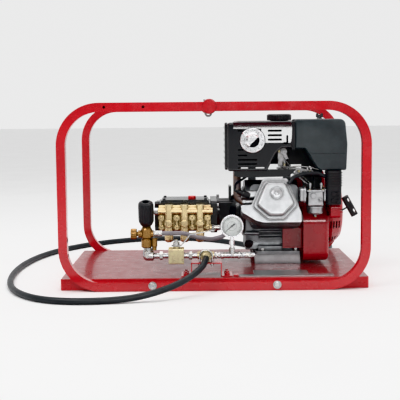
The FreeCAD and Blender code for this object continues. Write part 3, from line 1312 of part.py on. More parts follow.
def make_hose():
    radii = cord_radii(hose_route)
    run = swept(hose_route, radii, hose_diameter / 2)
    wire = Part.Wire(corner_arcs([Vector(*p) for p in hose_route], radii, False))
    section = math.pi * (hose_diameter / 2) ** 2
    print("hose radii", [round(r) for r in radii[1:-1]])
    print("hose run length", round(wire.Length, 1), "volume ratio",
          round(run.Volume / (section * wire.Length), 4))
    half_width = coil_turns_wide * hose_diameter / 2
    height = coil_layers * hose_diameter
    outer = coil_mid_radius + half_width
    inner = coil_mid_radius - half_width
    coil = ring((coil_x, coil_y, 0.0), Z_AXIS, outer, inner, height)
    coil = coil.makeFillet(floor_z * 0.9, coil.Edges)
    turns = coil_turns_wide * coil_layers
    print("coil length", round(turns * 2 * math.pi * coil_mid_radius, 1))
    # Hose crimp at the tee, and the quick-connect plug that ends the hose, lying on the coil.
    crimp = turned([(0, 8.5), (8.0, 8.5), (8.0, 12.0), (34, 12.0), (36, 11.0)],
                   (hose_outlet_x, pipe_y - 25.0, pipe_z), -Y_AXIS)
    crimp = crimp.cut(rod((hose_outlet_x, hose_start_y, pipe_z), -Y_AXIS, hose_diameter / 2, 30))
    end_y = coil_y - coil_mid_radius
    end_z = height + 12.0
    plug = join(
        turned([(0, 12.0), (32, 12.0), (34, 9.0)], (coil_x - 20, end_y, end_z), X_AXIS),
        hex_rod((coil_x + 13, end_y, end_z), X_AXIS, 19.0, 9.0),
        turned([(22, 8.0), (34, 8.0), (36, 6.5), (40, 6.5), (42, 8.0), (56, 8.0), (58, 6.5)],
               (coil_x, end_y, end_z), X_AXIS),
    )
    plug = plug.cut(rod((coil_x - 21, end_y, end_z), X_AXIS, hose_diameter / 2, 25))
    plug = plug.cut(rod((coil_x - 21, end_y, end_z), X_AXIS, 4.0, 90))
    return run, coil, crimp, plug


# ---------------------------------------------------------------- assembly

def build_engine():
    riser, strips = make_base_plates()
    block, mount_bolts = make_engine_block()
    for x in mount_bolt_x:
        for y in mount_bolt_y:
            riser = riser.cut(rod((x, y, riser_top - 10), Z_AXIS, 4.6, 20))
    keep("engine_riser", riser)
    keep("tray_strips", strips)
    keep("crankshaft", make_crankshaft())
    cover, bearing = make_crankcase_cover()
    keep("crankcase_cover", group(cover, bearing))
    keep("piston", make_piston())
    valve_cover, gasket = make_valve_cover()
    keep("valve_cover", valve_cover)
    keep("flywheel_fan", make_flywheel())
    pulley, guide, handle, rope = make_recoil_parts()
    guide_hole = rod(rope_at(-6), rope_axis, 9.5, 40.0)
    keep("recoil_housing", group(make_recoil_housing().cut(guide_hole), guide))
    keep("recoil_pulley", pulley)
    keep("starter_handle", handle)
    keep("starter_rope", rope)
    muffler, shield, deflector, guard, pipe = make_exhaust()
    keep("muffler_body", join(muffler, pipe))
    keep("muffler_shield", group(shield, guard))
    keep("exhaust_deflector", deflector)
    tank, straps = make_fuel_tank()
    keep("fuel_tank", tank)
    keep("fuel_cap", make_fuel_cap())
    cleaner_cover, base, element = make_air_cleaner()
    wing_nut, stud = make_wing_nut()
    keep("air_cleaner_cover", cleaner_cover)
    keep("air_cleaner_base", group(base, stud))
    keep("air_filter", element)
    keep("wing_nut", wing_nut)
    elbow, carburettor, bowl, insulator = make_intake()
    intake_space = box(intake_x, intake_x + 40, throat_y - 34, throat_y + 32, 230, 300)
    levers, pins = make_levers()
    for name, lever in levers.items():
        keep(name, lever)
    keep("intake_elbow", join(elbow, *pins))
    keep("carburettor", group(carburettor.cut(bowl), bowl, insulator))
    control, link = make_control_plate()
    keep("control_plate", group(control, link))
    breather, cap, ceramic, fuel_line = make_engine_small_parts()
    head = make_cylinder_head().cut(group(ceramic, cap)).cut(intake_space)
    breather = breather.cut(head).cut(valve_cover).cut(elbow)
    fuel_line = fuel_line.cut(tank).cut(carburettor)
    keep("engine_hoses", group(breather, fuel_line))
    keep("spark_plug_cap", group(ceramic, cap.cut(ceramic)))
    neck, filler_cap = make_oil_filler()
    block = block.cut(rod(filler_at - filler_axis * 10, filler_axis, 6.5, 40.0))
    block = join(block, *straps)
    block = join(block, neck)
    keep("oil_filler_cap", filler_cap)
    fan_space = box(fan_x0 - 0.5, fan_x0 + 60, -200, 300, 0, 400)
    block = block.cut(fan_space).cut(head).cut(intake_space).cut(muffler)
    keep("engine_block", block.cut(mount_bolts))
    keep("cylinder_head", group(head, gasket))
    keep("fan_housing", make_fan_housing().cut(block))
    return mount_bolts


def build_pump():
    adapter, adapter_bolts = make_pump_adapter()
    keep("pump_adapter", adapter)
    hub, pump_shaft = make_coupling()
    keep("pump_crankshaft", group(hub, pump_shaft))
    keep("pump_crankcase", make_pump_crankcase())
    keep("pump_plungers", make_plungers())
    manifold = make_pump_manifold()
    manifold_bolts, caps = make_manifold_trim()
    keep("pump_manifold", group(manifold.cut(manifold_bolts).cut(caps), manifold_bolts, caps))
    keep("pump_oil_cap", make_pump_oil_cap())
    return adapter_bolts


def build_pipework():
    knob, screw = make_knob()
    tail, swivel = make_inlet_swivel()
    keep("unloader_knob", group(knob, screw))
    keep("inlet_swivel", swivel)
    elbow, nipple = make_lower_pipe()
    bypass, bypass_fittings = make_bypass_hose()
    keep("bypass_hose", bypass)
    fittings = group(elbow, nipple, make_outlet_elbow(), bypass_fittings, make_gauge_tee())
    unloader = make_unloader().cut(tail)
    keep("pipe_fittings", fittings.cut(unloader))
    keep("unloader_body", group(unloader, tail))
    valve_body, ball, lever, nut = make_ball_valve()
    keep("ball_valve_body", valve_body)
    keep("valve_ball", ball.cut(nut))
    keep("ball_valve_lever", group(lever.cut(nut), nut))
    case, dial, lens, needle = make_gauge()
    keep("gauge_case", group(case, dial))
    keep("gauge_lens", lens)
    keep("gauge_needle", needle)
    bracket, bracket_bolts, u_bolt, tab = make_pipe_bracket()
    keep("pipe_bracket", group(bracket, bracket_bolts, tab))
    run, coil, crimp, plug = make_hose()
    keep("hose_tee", group(make_hose_tee().cut(crimp), crimp))
    keep("hose_run", run)
    keep("hose_coil", coil)
    keep("hose_plug", plug)
    return u_bolt


def build():
    frame_bolts = make_frame()
    mount_bolts = build_engine()
    adapter_bolts = build_pump()
    u_bolt = build_pipework()
    keep("zinc_bolts", group(frame_bolts, u_bolt, mount_bolts, adapter_bolts))


build()
os.makedirs("parts", exist_ok=True)
for name, shape in nodes.items():
    valid = shape.isValid()
    if not valid or shape.Volume < 1:
        print("check", name, "valid", valid, "volume", round(shape.Volume))
    shape.exportStep("parts/" + name + ".step")
print("nodes", len(nodes))
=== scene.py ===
import json
import math
import random

import bmesh
import bpy
from mathutils import Matrix, Vector


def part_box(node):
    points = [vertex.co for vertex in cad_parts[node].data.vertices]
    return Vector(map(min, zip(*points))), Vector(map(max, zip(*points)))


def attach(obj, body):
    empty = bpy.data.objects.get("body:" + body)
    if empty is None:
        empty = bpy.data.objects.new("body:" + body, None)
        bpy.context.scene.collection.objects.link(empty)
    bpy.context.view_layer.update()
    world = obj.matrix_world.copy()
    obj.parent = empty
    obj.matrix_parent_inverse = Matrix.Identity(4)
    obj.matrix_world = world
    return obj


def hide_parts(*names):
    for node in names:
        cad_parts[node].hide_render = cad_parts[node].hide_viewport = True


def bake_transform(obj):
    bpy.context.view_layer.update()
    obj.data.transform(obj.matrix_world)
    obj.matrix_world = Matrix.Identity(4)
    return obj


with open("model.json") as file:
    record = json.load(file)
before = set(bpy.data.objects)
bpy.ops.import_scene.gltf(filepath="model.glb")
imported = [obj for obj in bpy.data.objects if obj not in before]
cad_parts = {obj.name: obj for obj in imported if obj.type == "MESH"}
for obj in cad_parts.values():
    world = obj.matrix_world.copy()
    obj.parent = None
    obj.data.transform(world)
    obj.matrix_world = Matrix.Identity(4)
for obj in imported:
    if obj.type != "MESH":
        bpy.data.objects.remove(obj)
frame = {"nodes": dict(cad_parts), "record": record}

nodes = frame["nodes"]
scene = bpy.context.scene
scene.view_settings.view_transform = "Khronos PBR Neutral"
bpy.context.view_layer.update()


# ---------------------------------------------------------------- camera and hose

CAMERA_AT = Vector((-0.046, -2.894, 0.520))
CAMERA_YAW = math.radians(0.10)
CAMERA_PITCH = math.radians(5.55)
CAMERA_ROLL = math.radians(-0.52)
CAMERA_LENS = 80.55


def make_camera():
    ahead = Vector((
        math.sin(CAMERA_YAW) * math.cos(CAMERA_PITCH),
        math.cos(CAMERA_YAW) * math.cos(CAMERA_PITCH),
        -math.sin(CAMERA_PITCH),
    ))
    level_right = Vector((math.cos(CAMERA_YAW), -math.sin(CAMERA_YAW), 0))
    level_up = level_right.cross(ahead)
    right = level_right * math.cos(CAMERA_ROLL) + level_up * math.sin(CAMERA_ROLL)
    up = right.cross(ahead)
    turn = Matrix((right, up, -ahead)).transposed()
    data = bpy.data.cameras.new("camera")
    data.lens = CAMERA_LENS
    camera = bpy.data.objects.new("camera", data)
    camera.matrix_world = Matrix.Translation(CAMERA_AT) @ turn.to_4x4()
    scene.collection.objects.link(camera)
    scene.camera = camera


# The delivery hose lies on the floor from its fitting round to a coil behind the engine.
HOSE_DIAMETER = 0.019
HOSE_ROUTE = [
    (-0.025, -0.264, 0.093), (-0.025, -0.308, 0.093), (-0.040, -0.358, 0.076),
    (-0.082, -0.408, 0.052), (-0.150, -0.441, 0.028), (-0.244, -0.464, 0.0095),
    (-0.390, -0.486, 0.0095), (-0.500, -0.446, 0.0095), (-0.586, -0.330, 0.0095),
    (-0.630, -0.180, 0.0095), (-0.650, 0.000, 0.0095), (-0.644, 0.180, 0.0095),
    (-0.612, 0.350, 0.0095), (-0.542, 0.510, 0.0095), (-0.430, 0.646, 0.0095),
    (-0.290, 0.736, 0.0095), (-0.130, 0.758, 0.0095), (0.000, 0.708, 0.0095),
    (0.084, 0.622, 0.0095), (0.140, 0.548, 0.0095),
]
COIL_CENTRE = Vector((0.305, 0.505, 0.0))
COIL_RADII = (0.149, 0.130, 0.111, 0.111, 0.130, 0.149)
COIL_STEPS = 16
COIL_ENTRY = math.radians(183)
TURNS_PER_LAYER = 3


def coil_point(angle, radius, height):
    return (
        COIL_CENTRE.x + radius * math.cos(angle),
        COIL_CENTRE.y + radius * math.sin(angle),
        height,
    )


def coil_points():
    # Each turn keeps its radius and steps to the next one over its last part, in two layers.
    reach = 1 / math.cos(math.pi / COIL_STEPS)
    low = HOSE_DIAMETER / 2
    points = []
    for turn, radius in enumerate(COIL_RADII):
        layer = turn // TURNS_PER_LAYER
        following = COIL_RADII[min(turn + 1, len(COIL_RADII) - 1)]
        for step in range(COIL_STEPS):
            share = step / COIL_STEPS
            slide = min(1, max(0, (share - 0.84) / 0.14))
            height = low + layer * HOSE_DIAMETER
            if turn % TURNS_PER_LAYER == TURNS_PER_LAYER - 1:
                climb = min(1, max(0, (share - 0.62) / 0.22))
                height += climb * HOSE_DIAMETER
            here = radius + (following - radius) * slide
            angle = COIL_ENTRY + 2 * math.pi * (turn + share)
            points.append(coil_point(angle, here * reach, height))
    return points


def plug_points():
    # The last stretch crosses the top of the coil into the plug.
    top = 2.5 * HOSE_DIAMETER
    plug_low, plug_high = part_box("hose_plug")
    line_y = (plug_low.y + plug_high.y) / 2
    line_z = (plug_low.z + plug_high.z) / 2
    ends = []
    for degrees, radius in ((187, 0.152), (207, 0.150), (228, 0.143), (248, 0.138)):
        ends.append(coil_point(math.radians(degrees), radius, top))
    ends.append((plug_low.x - 0.006, line_y, line_z))
    ends.append((plug_low.x + 0.009, line_y, line_z))
    return ends


def make_hose():
    curve = bpy.data.curves.new("delivery_hose", "CURVE")
    curve.dimensions = "3D"
    # The radius is kept at the points, so that the bounding box fits round the hose.
    curve.bevel_depth = 1.0
    curve.bevel_resolution = 7
    curve.resolution_u = 8
    curve.use_fill_caps = True
    points = HOSE_ROUTE + coil_points() + plug_points()
    spline = curve.splines.new("NURBS")
    spline.points.add(len(points) - 1)
    for index, point in enumerate(points):
        spline.points[index].co = (*point, 1)
        spline.points[index].radius = HOSE_DIAMETER / 2
    spline.order_u = 3
    spline.use_endpoint_u = True
    hose = bpy.data.objects.new("delivery_hose", curve)
    scene.collection.objects.link(hose)
    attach(hose, "frame")
    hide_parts("hose_run", "hose_coil")
    return hose


# ---------------------------------------------------------------- materials

class Look:
    """A node material being built around one Principled shader."""

    def __init__(self, name):
        self.name = name
        self.material = bpy.data.materials.new(name)
        self.material.use_nodes = True
        self.tree = self.material.node_tree
        self.shader = self.tree.nodes["Principled BSDF"]
        self.place = self.add("ShaderNodeTexCoord").outputs["Object"]

    def add(self, kind, **settings):
        node = self.tree.nodes.new(kind)
        for name, value in settings.items():
            setattr(node, name, value)
        return node

    def link(self, source, target):
        self.tree.links.new(source, target)

    def noise(self, scale, detail=3.0, roughness=0.55, stretch=None):
        node = self.add("ShaderNodeTexNoise")
        node.inputs["Scale"].default_value = scale
        node.inputs["Detail"].default_value = detail
        node.inputs["Roughness"].default_value = roughness
        if stretch:
            mapping = self.add("ShaderNodeMapping")
            mapping.inputs["Scale"].default_value = stretch
            self.link(self.place, mapping.inputs["Vector"])
            self.link(mapping.outputs["Vector"], node.inputs["Vector"])
        else:
            self.link(self.place, node.inputs["Vector"])
        return node.outputs["Fac"]

    def ranged(self, value, from_low, from_high, to_low, to_high):
        node = self.add("ShaderNodeMapRange")
        node.inputs["From Min"].default_value = from_low
        node.inputs["From Max"].default_value = from_high
        node.inputs["To Min"].default_value = to_low
        node.inputs["To Max"].default_value = to_high
        self.link(value, node.inputs["Value"])
        return node.outputs["Result"]

    def times(self, first, second):
        node = self.add("ShaderNodeMath", operation="MULTIPLY")
        self.link(first, node.inputs[0])
        if isinstance(second, (int, float)):
            node.inputs[1].default_value = second
        else:
            self.link(second, node.inputs[1])
        return node.outputs[0]

    def mixed(self, factor, first, second):
        node = self.add("ShaderNodeMix", data_type="RGBA")
        self.link(factor, node.inputs["Factor"])
        for socket, colour in ((node.inputs["A"], first), (node.inputs["B"], second)):
            if isinstance(colour, tuple):
                socket.default_value = (*colour, 1)
            else:
                self.link(colour, socket)
        return node.outputs["Result"]

    def edges(self, radius):
        """How close a point is to a hard edge, from 0 to 1."""
        bevel = self.add("ShaderNodeBevel", samples=4)
        bevel.inputs["Radius"].default_value = radius
        plain = self.add("ShaderNodeNewGeometry")
        dot = self.add("ShaderNodeVectorMath", operation="DOT_PRODUCT")
        self.link(bevel.outputs["Normal"], dot.inputs[0])
        self.link(plain.outputs["Normal"], dot.inputs[1])
        return self.ranged(dot.outputs["Value"], 1.0, 0.86, 0.0, 1.0)

    def crevice_shade(self, distance):
        # Ambient occlusion as a mask for painted shade: 1 deep in corners and hollows, 0 in the open.
        node = self.add("ShaderNodeAmbientOcclusion", samples=4)
        node.inputs["Distance"].default_value = distance
        return self.ranged(node.outputs["AO"], 0.35, 0.95, 1.0, 0.0)

    def facing_up(self):
        """1 where the surface faces the sky and 0 where it stands upright."""
        plain = self.add("ShaderNodeNewGeometry")
        split = self.add("ShaderNodeSeparateXYZ")
        self.link(plain.outputs["Normal"], split.inputs[0])
        return self.ranged(split.outputs["Z"], 0.5, 0.95, 0.0, 1.0)

    def bumped(self, height, strength, distance, soft_edge=0.0):
        node = self.add("ShaderNodeBump")
        node.inputs["Strength"].default_value = strength
        node.inputs["Distance"].default_value = distance
        self.link(height, node.inputs["Height"])
        if soft_edge > 0:
            bevel = self.add("ShaderNodeBevel", samples=4)
            bevel.inputs["Radius"].default_value = soft_edge
            self.link(bevel.outputs["Normal"], node.inputs["Normal"])
        self.link(node.outputs["Normal"], self.shader.inputs["Normal"])


def darker(colour, share):
    return tuple(channel * share for channel in colour)


def paint(name, colour, roughness, worn_colour, grain=700.0, coat=0.5, top=None):
    """Sprayed enamel or powder coat: slight orange peel, uneven gloss, thin paint along the edges.

    top is the duller, darker colour of the faces that look up: painted shade on the top faces."""
    look = Look(name)
    cloud = look.noise(7.0, 4.0)
    base = look.mixed(look.ranged(cloud, 0.35, 0.65, 0, 1), darker(colour, 0.86), colour)
    rub = look.times(look.edges(0.0012), look.ranged(look.noise(55.0, 5.0), 0.5, 0.62, 0, 1))
    base = look.mixed(look.times(rub, 0.6), base, worn_colour)
    # Painted shade: the faces that look up take the darker top colour.
    if top is not None:
        base = look.mixed(look.facing_up(), base, top)
    look.link(base, look.shader.inputs["Base Color"])
    gloss = look.ranged(look.noise(30.0, 4.0), 0.3, 0.7, roughness * 0.75, roughness * 1.3)
    look.link(gloss, look.shader.inputs["Roughness"])
    look.shader.inputs["Coat Weight"].default_value = coat
    look.shader.inputs["Coat Roughness"].default_value = 0.06
    look.bumped(look.noise(grain, 2.0), 0.35, 0.00004, 0.0008)
    return look


def cast(name, colour, shade_colour, roughness, shade_share, metallic=1.0):
    """Cast or forged metal: sandy skin, brighter edges, painted shade darkening the corners."""
    look = Look(name)
    cloud = look.noise(38.0, 5.0, 0.6)
    base = look.mixed(look.ranged(cloud, 0.35, 0.68, 0, 1), darker(colour, 0.78), colour)
    bright = tuple(min(1.0, channel * 1.25) for channel in colour)
    base = look.mixed(look.times(look.edges(0.0016), 0.7), base, bright)
    # Painted shade: the colour darkens in the corners and hollows that ambient occlusion finds.
    base = look.mixed(look.times(look.crevice_shade(0.012), shade_share), base, shade_colour)
    look.link(base, look.shader.inputs["Base Color"])
    look.shader.inputs["Metallic"].default_value = metallic
    gloss = look.ranged(look.noise(90.0, 5.0), 0.3, 0.7, roughness * 0.75, roughness * 1.25)
    look.link(gloss, look.shader.inputs["Roughness"])
    look.bumped(look.noise(1300.0, 3.0, 0.7), 0.55, 0.00014, 0.001)
    return look


def plated(name, colour, tint, roughness=0.28):
    """Zinc or chrome plate: smooth, with faint clouds of another tint and painted shade in its crevices.
    """
    look = Look(name)
    cloud = look.noise(110.0, 4.0)
    base = look.mixed(look.ranged(cloud, 0.38, 0.66, 0, 1), colour, tint)
    # Painted shade: ambient occlusion darkens the plate in its crevices.
    base = look.mixed(look.times(look.crevice_shade(0.006), 0.55), base, darker(colour, 0.3))
    look.link(base, look.shader.inputs["Base Color"])
    look.shader.inputs["Metallic"].default_value = 1.0
    gloss = look.ranged(look.noise(160.0, 4.0), 0.3, 0.7, roughness * 0.7, roughness * 1.35)
    look.link(gloss, look.shader.inputs["Roughness"])
    look.bumped(look.noise(800.0, 2.0), 0.2, 0.00005, 0.0006)
    return look


def brushed(name, colour, stretch, roughness=0.34):
    """Rolled or brushed sheet: long fine streaks one way."""
    look = Look(name)
    streak = look.noise(1.0, 4.0, 0.7, stretch)
    base = look.mixed(look.ranged(streak, 0.3, 0.7, 0, 1), darker(colour, 0.8), colour)
    blot = look.ranged(look.noise(26.0, 5.0), 0.45, 0.75, 0, 0.35)
    base = look.mixed(blot, base, darker(colour, 0.55))
    look.link(base, look.shader.inputs["Base Color"])
    look.shader.inputs["Metallic"].default_value = 1.0
    gloss = look.ranged(streak, 0.3, 0.7, roughness * 0.7, roughness * 1.4)
    look.link(gloss, look.shader.inputs["Roughness"])
    look.bumped(streak, 0.25, 0.00004, 0.0006)
    return look


def moulded(name, colour, roughness, grain=2200.0, depth=0.00005, coat=0.0):
    """Moulded plastic or rubber: fine eroded texture, scuffed paler on the edges."""
    look = Look(name)
    cloud = look.noise(24.0, 4.0)
    paler = tuple(channel * 1.35 + 0.004 for channel in colour)
    scuffed = tuple(channel * 2.4 + 0.03 for channel in colour)
    base = look.mixed(look.ranged(cloud, 0.35, 0.7, 0, 1), colour, paler)
    scuff = look.times(look.edges(0.0012), look.ranged(look.noise(90.0, 4.0), 0.42, 0.62, 0, 0.45))
    base = look.mixed(scuff, base, scuffed)
    look.link(base, look.shader.inputs["Base Color"])
    gloss = look.ranged(look.noise(60.0, 4.0), 0.3, 0.7, roughness * 0.85, roughness * 1.15)
    look.link(gloss, look.shader.inputs["Roughness"])
    look.shader.inputs["Coat Weight"].default_value = coat
    look.bumped(look.noise(grain, 2.0, 0.6), 0.4, depth, 0.0009)
    return look


# Height of the join between the exhaust pipe and the muffler.
MUFFLER_JOIN_LOW = 0.338
MUFFLER_JOIN_HIGH = 0.346


def heat_tinted(name):
    """Exhaust steel: near-black sheet above, browned and blued pipe below; the sheet's black is partly
    dark steel and partly painted shade for the slots of the muffler shield.
    """
    look = Look(name)
    cloud = look.noise(22.0, 4.0)
    base = look.mixed(look.ranged(cloud, 0.35, 0.65, 0, 1), (0.30, 0.19, 0.11), (0.20, 0.19, 0.22))
    rust = look.ranged(look.noise(140.0, 6.0, 0.7), 0.55, 0.7, 0, 0.7)
    base = look.mixed(rust, base, (0.22, 0.085, 0.03))
    # Near-black above the join: dark steel, darkened as painted shade where the shield's slots show the
    # muffler.
    height = look.add("ShaderNodeSeparateXYZ")
    look.link(look.place, height.inputs[0])
    dark_steel_and_shade_above = look.ranged(height.outputs["Z"], MUFFLER_JOIN_LOW, MUFFLER_JOIN_HIGH, 0.0, 1.0)
    base = look.mixed(dark_steel_and_shade_above, base, (0.018, 0.018, 0.020))
    look.link(base, look.shader.inputs["Base Color"])
    look.shader.inputs["Metallic"].default_value = 0.85
    look.link(look.ranged(cloud, 0.3, 0.7, 0.34, 0.62), look.shader.inputs["Roughness"])
    look.bumped(look.noise(700.0, 4.0, 0.7), 0.5, 0.0001, 0.0008)
    return look


def filter_paper(name):
    """Pleated paper of the air filter."""
    look = Look(name)
    wave = look.add("ShaderNodeTexWave")
    wave.inputs["Scale"].default_value = 55.0
    look.link(look.place, wave.inputs["Vector"])
    # Painted shade: the colour follows the pleats, darker in their folds and paler on their crests.
    base = look.mixed(wave.outputs["Fac"], (0.42, 0.33, 0.17), (0.72, 0.60, 0.36))
    look.link(base, look.shader.inputs["Base Color"])
    look.shader.inputs["Roughness"].default_value = 0.9
    look.bumped(wave.outputs["Fac"], 0.8, 0.002)
    return look


def lens_glass(name):
    """Clear gauge lens with faint smears."""
    look = Look(name)
    look.shader.inputs["Base Color"].default_value = (0.97, 0.985, 0.99, 1)
    look.shader.inputs["Transmission Weight"].default_value = 1.0
    look.shader.inputs["IOR"].default_value = 1.45
    look.link(look.ranged(look.noise(60.0, 3.0), 0.4, 0.7, 0.01, 0.05), look.shader.inputs["Roughness"])
    return look


# Near-black of the painted shade in the corners of the cast aluminium.
CREVICE_SHADE_DARK = (0.030, 0.030, 0.030)
FRAME_RED = (0.52, 0.007, 0.014)
THIN_RED = (0.33, 0.03, 0.03)


def make_materials():
    """One material for each slot of the record, and a few of the scene's own."""
    made = [
        paint("red_frame_paint", FRAME_RED, 0.24, THIN_RED, coat=0.7),
        # The tray's top colour is painted shade on the faces that look up.
        paint("tray_paint_shaded_top", FRAME_RED, 0.30, THIN_RED, coat=0.25, top=(0.24, 0.020, 0.024)),
        paint("red_engine_paint", (0.42, 0.006, 0.014), 0.25, (0.14, 0.02, 0.02), coat=0.6),
        paint("black_paint", (0.014, 0.016, 0.019), 0.32, (0.16, 0.16, 0.16), grain=1200.0, coat=0.35),
        paint("gloss_black_shield", (0.008, 0.009, 0.012), 0.10, (0.10, 0.10, 0.10), coat=1.0),
        # The third colour of each cast look is its painted shade for the corners.
        cast("cast_aluminium", (0.50, 0.51, 0.52), CREVICE_SHADE_DARK, 0.38, 0.9, metallic=0.9),
        # A darker copy of the cast aluminium, as painted shade on the engine block and crankcase cover.
        cast("block_casting_shaded", (0.27, 0.28, 0.29), (0.020, 0.020, 0.020), 0.44, 0.95, metallic=0.85),
        cast("forged_brass", (0.82, 0.67, 0.40), (0.20, 0.13, 0.05), 0.30, 0.8),
        cast("machined_brass", (0.34, 0.20, 0.085), (0.06, 0.035, 0.012), 0.26, 0.8),
        brushed("plain_aluminium", (0.56, 0.56, 0.56), (6.0, 500.0, 500.0)),
        plated("zinc_plate", (0.56, 0.55, 0.52), (0.44, 0.45, 0.48)),
        plated("yellow_zinc", (0.60, 0.54, 0.34), (0.50, 0.42, 0.28), roughness=0.34),
        plated("steel", (0.36, 0.36, 0.37), (0.28, 0.27, 0.26), roughness=0.36),
        plated("chrome", (0.86, 0.86, 0.87), (0.78, 0.79, 0.81), roughness=0.24),
        heat_tinted("heat_tinted_steel"),
        moulded("grey_plastic", (0.030, 0.040, 0.044), 0.40),
        moulded("black_plastic", (0.010, 0.011, 0.013), 0.36),
        moulded("red_plastic", (0.55, 0.012, 0.012), 0.3, coat=0.3),
        moulded("black_rubber", (0.009, 0.012, 0.015), 0.44, grain=1500.0, depth=0.00012),
        moulded("grey_rubber", (0.22, 0.20, 0.22), 0.5, grain=1500.0, depth=0.00012),
        moulded("dial_white", (0.76, 0.76, 0.74), 0.5),
        moulded("rope", (0.02, 0.02, 0.022), 0.8, grain=500.0, depth=0.0006),
        filter_paper("paper_element"),
        lens_glass("clear_lens"),
    ]
    return {look.name: look.material for look in made}


# Nodes whose look differs a little from the other pieces of the same material: painted shade, darker on
# the engine block and crankcase cover and on the tray's upward faces.
OWN_LOOKS = {
    "engine_block": "block_casting_shaded",
    "crankcase_cover": "block_casting_shaded",
    "base_tray": "tray_paint_shaded_top",
}


def dress_cad_nodes(looks):
    for part in frame["record"]["subparts"]:
        target = nodes[part["node"]]
        target.data.materials.clear()
        own = OWN_LOOKS.get(part["node"], part["material_slot"])
        target.data.materials.append(looks[own])


# ---------------------------------------------------------------- detail pieces, in metres

TO_LEFT = (-1, 0, 0)
TO_RIGHT = (1, 0, 0)
TO_FRONT = (0, -1, 0)
UPWARD = (0, 0, 1)
DOWNWARD = (0, 0, -1)
SWEEP_GUIDE = Vector((0.13, 0.21, 0.97))
COIL_SPRING_STEPS = 10
SMOOTH_BELOW = math.radians(35)


class Shapes:
    """Collects turned, swept and bolt-like forms into one mesh piece."""

    def __init__(self):
        self.mesh = bmesh.new()

    def loops(self, rows, cap=True):
        """Joins rings of points, each to the next, and closes the two ends."""
        made = [[self.mesh.verts.new(point) for point in row] for row in rows]
        count = len(made[0])
        for low, high in zip(made, made[1:]):
            for index in range(count):
                after = (index + 1) % count
                self.mesh.faces.new((low[index], low[after], high[after], high[index]))
        if cap:
            self.mesh.faces.new(list(reversed(made[0])))
            self.mesh.faces.new(made[-1])

    def turned(self, profile, place, axis, around=28):
        """profile is (distance along the axis, radius) pairs."""
        turn = Vector(axis).to_track_quat("Z", "Y").to_matrix()
        rows = []
        for along, radius in profile:
            row = []
            for index in range(around):
                angle = 2 * math.pi * index / around
                local = Vector((radius * math.cos(angle), radius * math.sin(angle), along))
                row.append(Vector(place) + turn @ local)
            rows.append(row)
        self.loops(rows)

    def hexed(self, place, axis, across, height, flange=0.0):
        """A hexagon head with a chamfered crown, on a round flange if one is asked for."""
        radius = across / 2 / math.cos(math.pi / 6)
        crown = across / 2 * 0.86
        if flange > 0:
            self.turned([(0, flange), (0.0006, flange), (0.0016, flange * 0.82)], place, axis)
        profile = [(0, radius), (height * 0.86, radius), (height, crown), (height - 0.0006, crown * 0.72)]
        self.turned(profile, place, axis, around=6)

    def swept(self, points, radius, around=10, closed=False, ripple=0.0, every=2):
        """A round bar along the points; ripple swells every so many points, as a weld bead does."""
        count = len(points)
        rows = []
        for index, point in enumerate(points):
            before = Vector(points[index - 1] if closed or index > 0 else point)
            after = Vector(points[(index + 1) % count] if closed or index < count - 1 else point)
            ahead = (after - before).normalized()
            side = ahead.cross(SWEEP_GUIDE).normalized()
            up = side.cross(ahead).normalized()
            size = radius * (1 + (ripple if index % every == 0 else 0))
            row = []
            for step in range(around):
                angle = 2 * math.pi * step / around
                away = side * math.cos(angle) + up * math.sin(angle)
                row.append(Vector(point) + away * size)
            rows.append(row)
        if closed:
            rows.append(rows[0])
        self.loops(rows, cap=not closed)

    def coil(self, start, end, radius, wire, turns):
        """A helical spring with a hook at each end."""
        start, end = Vector(start), Vector(end)
        ahead = (end - start).normalized()
        side = ahead.cross(SWEEP_GUIDE).normalized()
        up = side.cross(ahead)
        length = (end - start).length
        hook = length * 0.12
        points = [start]
        steps = turns * COIL_SPRING_STEPS
        for step in range(steps + 1):
            angle = 2 * math.pi * step / COIL_SPRING_STEPS
            along = hook + (length - 2 * hook) * step / steps
            away = side * math.cos(angle) + up * math.sin(angle)
            points.append(start + ahead * along + away * radius)
        points.append(end)
        self.swept(points, wire, 6)

    def piece(self, name, look, body="frame"):
        bmesh.ops.remove_doubles(self.mesh, verts=self.mesh.verts, dist=0.000002)
        bmesh.ops.recalc_face_normals(self.mesh, faces=self.mesh.faces)
        data = bpy.data.meshes.new(name)
        self.mesh.to_mesh(data)
        self.mesh.free()
        data.materials.append(look)
        data.shade_smooth()
        data.set_sharp_from_angle(angle=SMOOTH_BELOW)
        made = bpy.data.objects.new(name, data)
        scene.collection.objects.link(made)
        if body:
            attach(made, body)
        return made


def circle(centre, radius, count):
    """Points round an upright circle that faces the front."""
    points = []
    for index in range(count):
        angle = 2 * math.pi * index / count
        points.append(Vector(centre) + Vector((radius * math.cos(angle), 0, radius * math.sin(angle))))
    return points


CROSS_X = -0.012
CROSS_Z = 0.539
CROSS_RADIUS = 0.019
LOOP_INNER_Y = 0.279


def add_weld_beads():
    # Where the top cross tube meets the inner faces of the two loops.
    beads = Shapes()
    for y in (-LOOP_INNER_Y, LOOP_INNER_Y):
        ring = circle((CROSS_X, y, CROSS_Z), CROSS_RADIUS + 0.0008, 60)
        shaken = []
        for point in ring:
            shaken.append(point + Vector((0, random.uniform(-0.0003, 0.0003), 0)))
        beads.swept(shaken, 0.0021, 8, closed=True, ripple=0.16)
    beads.piece("weld_beads", looks["red_frame_paint"])


GAUGE_AT = Vector((0.0535, -0.2346, 0.182))
GAUGE_SWEEP = 270
GAUGE_TICKS = 40
GAUGE_ARC_STEPS = 48
GAUGE_OUTER = 0.0268
GAUGE_MARK_FRONT = 0.00085


def gauge_way(share):
    """The way from the middle of the dial to a place on its scale, for a share of the sweep."""
    angle = math.radians(90 + GAUGE_SWEEP / 2 - GAUGE_SWEEP * share)
    return Vector((math.cos(angle), 0, math.sin(angle)))


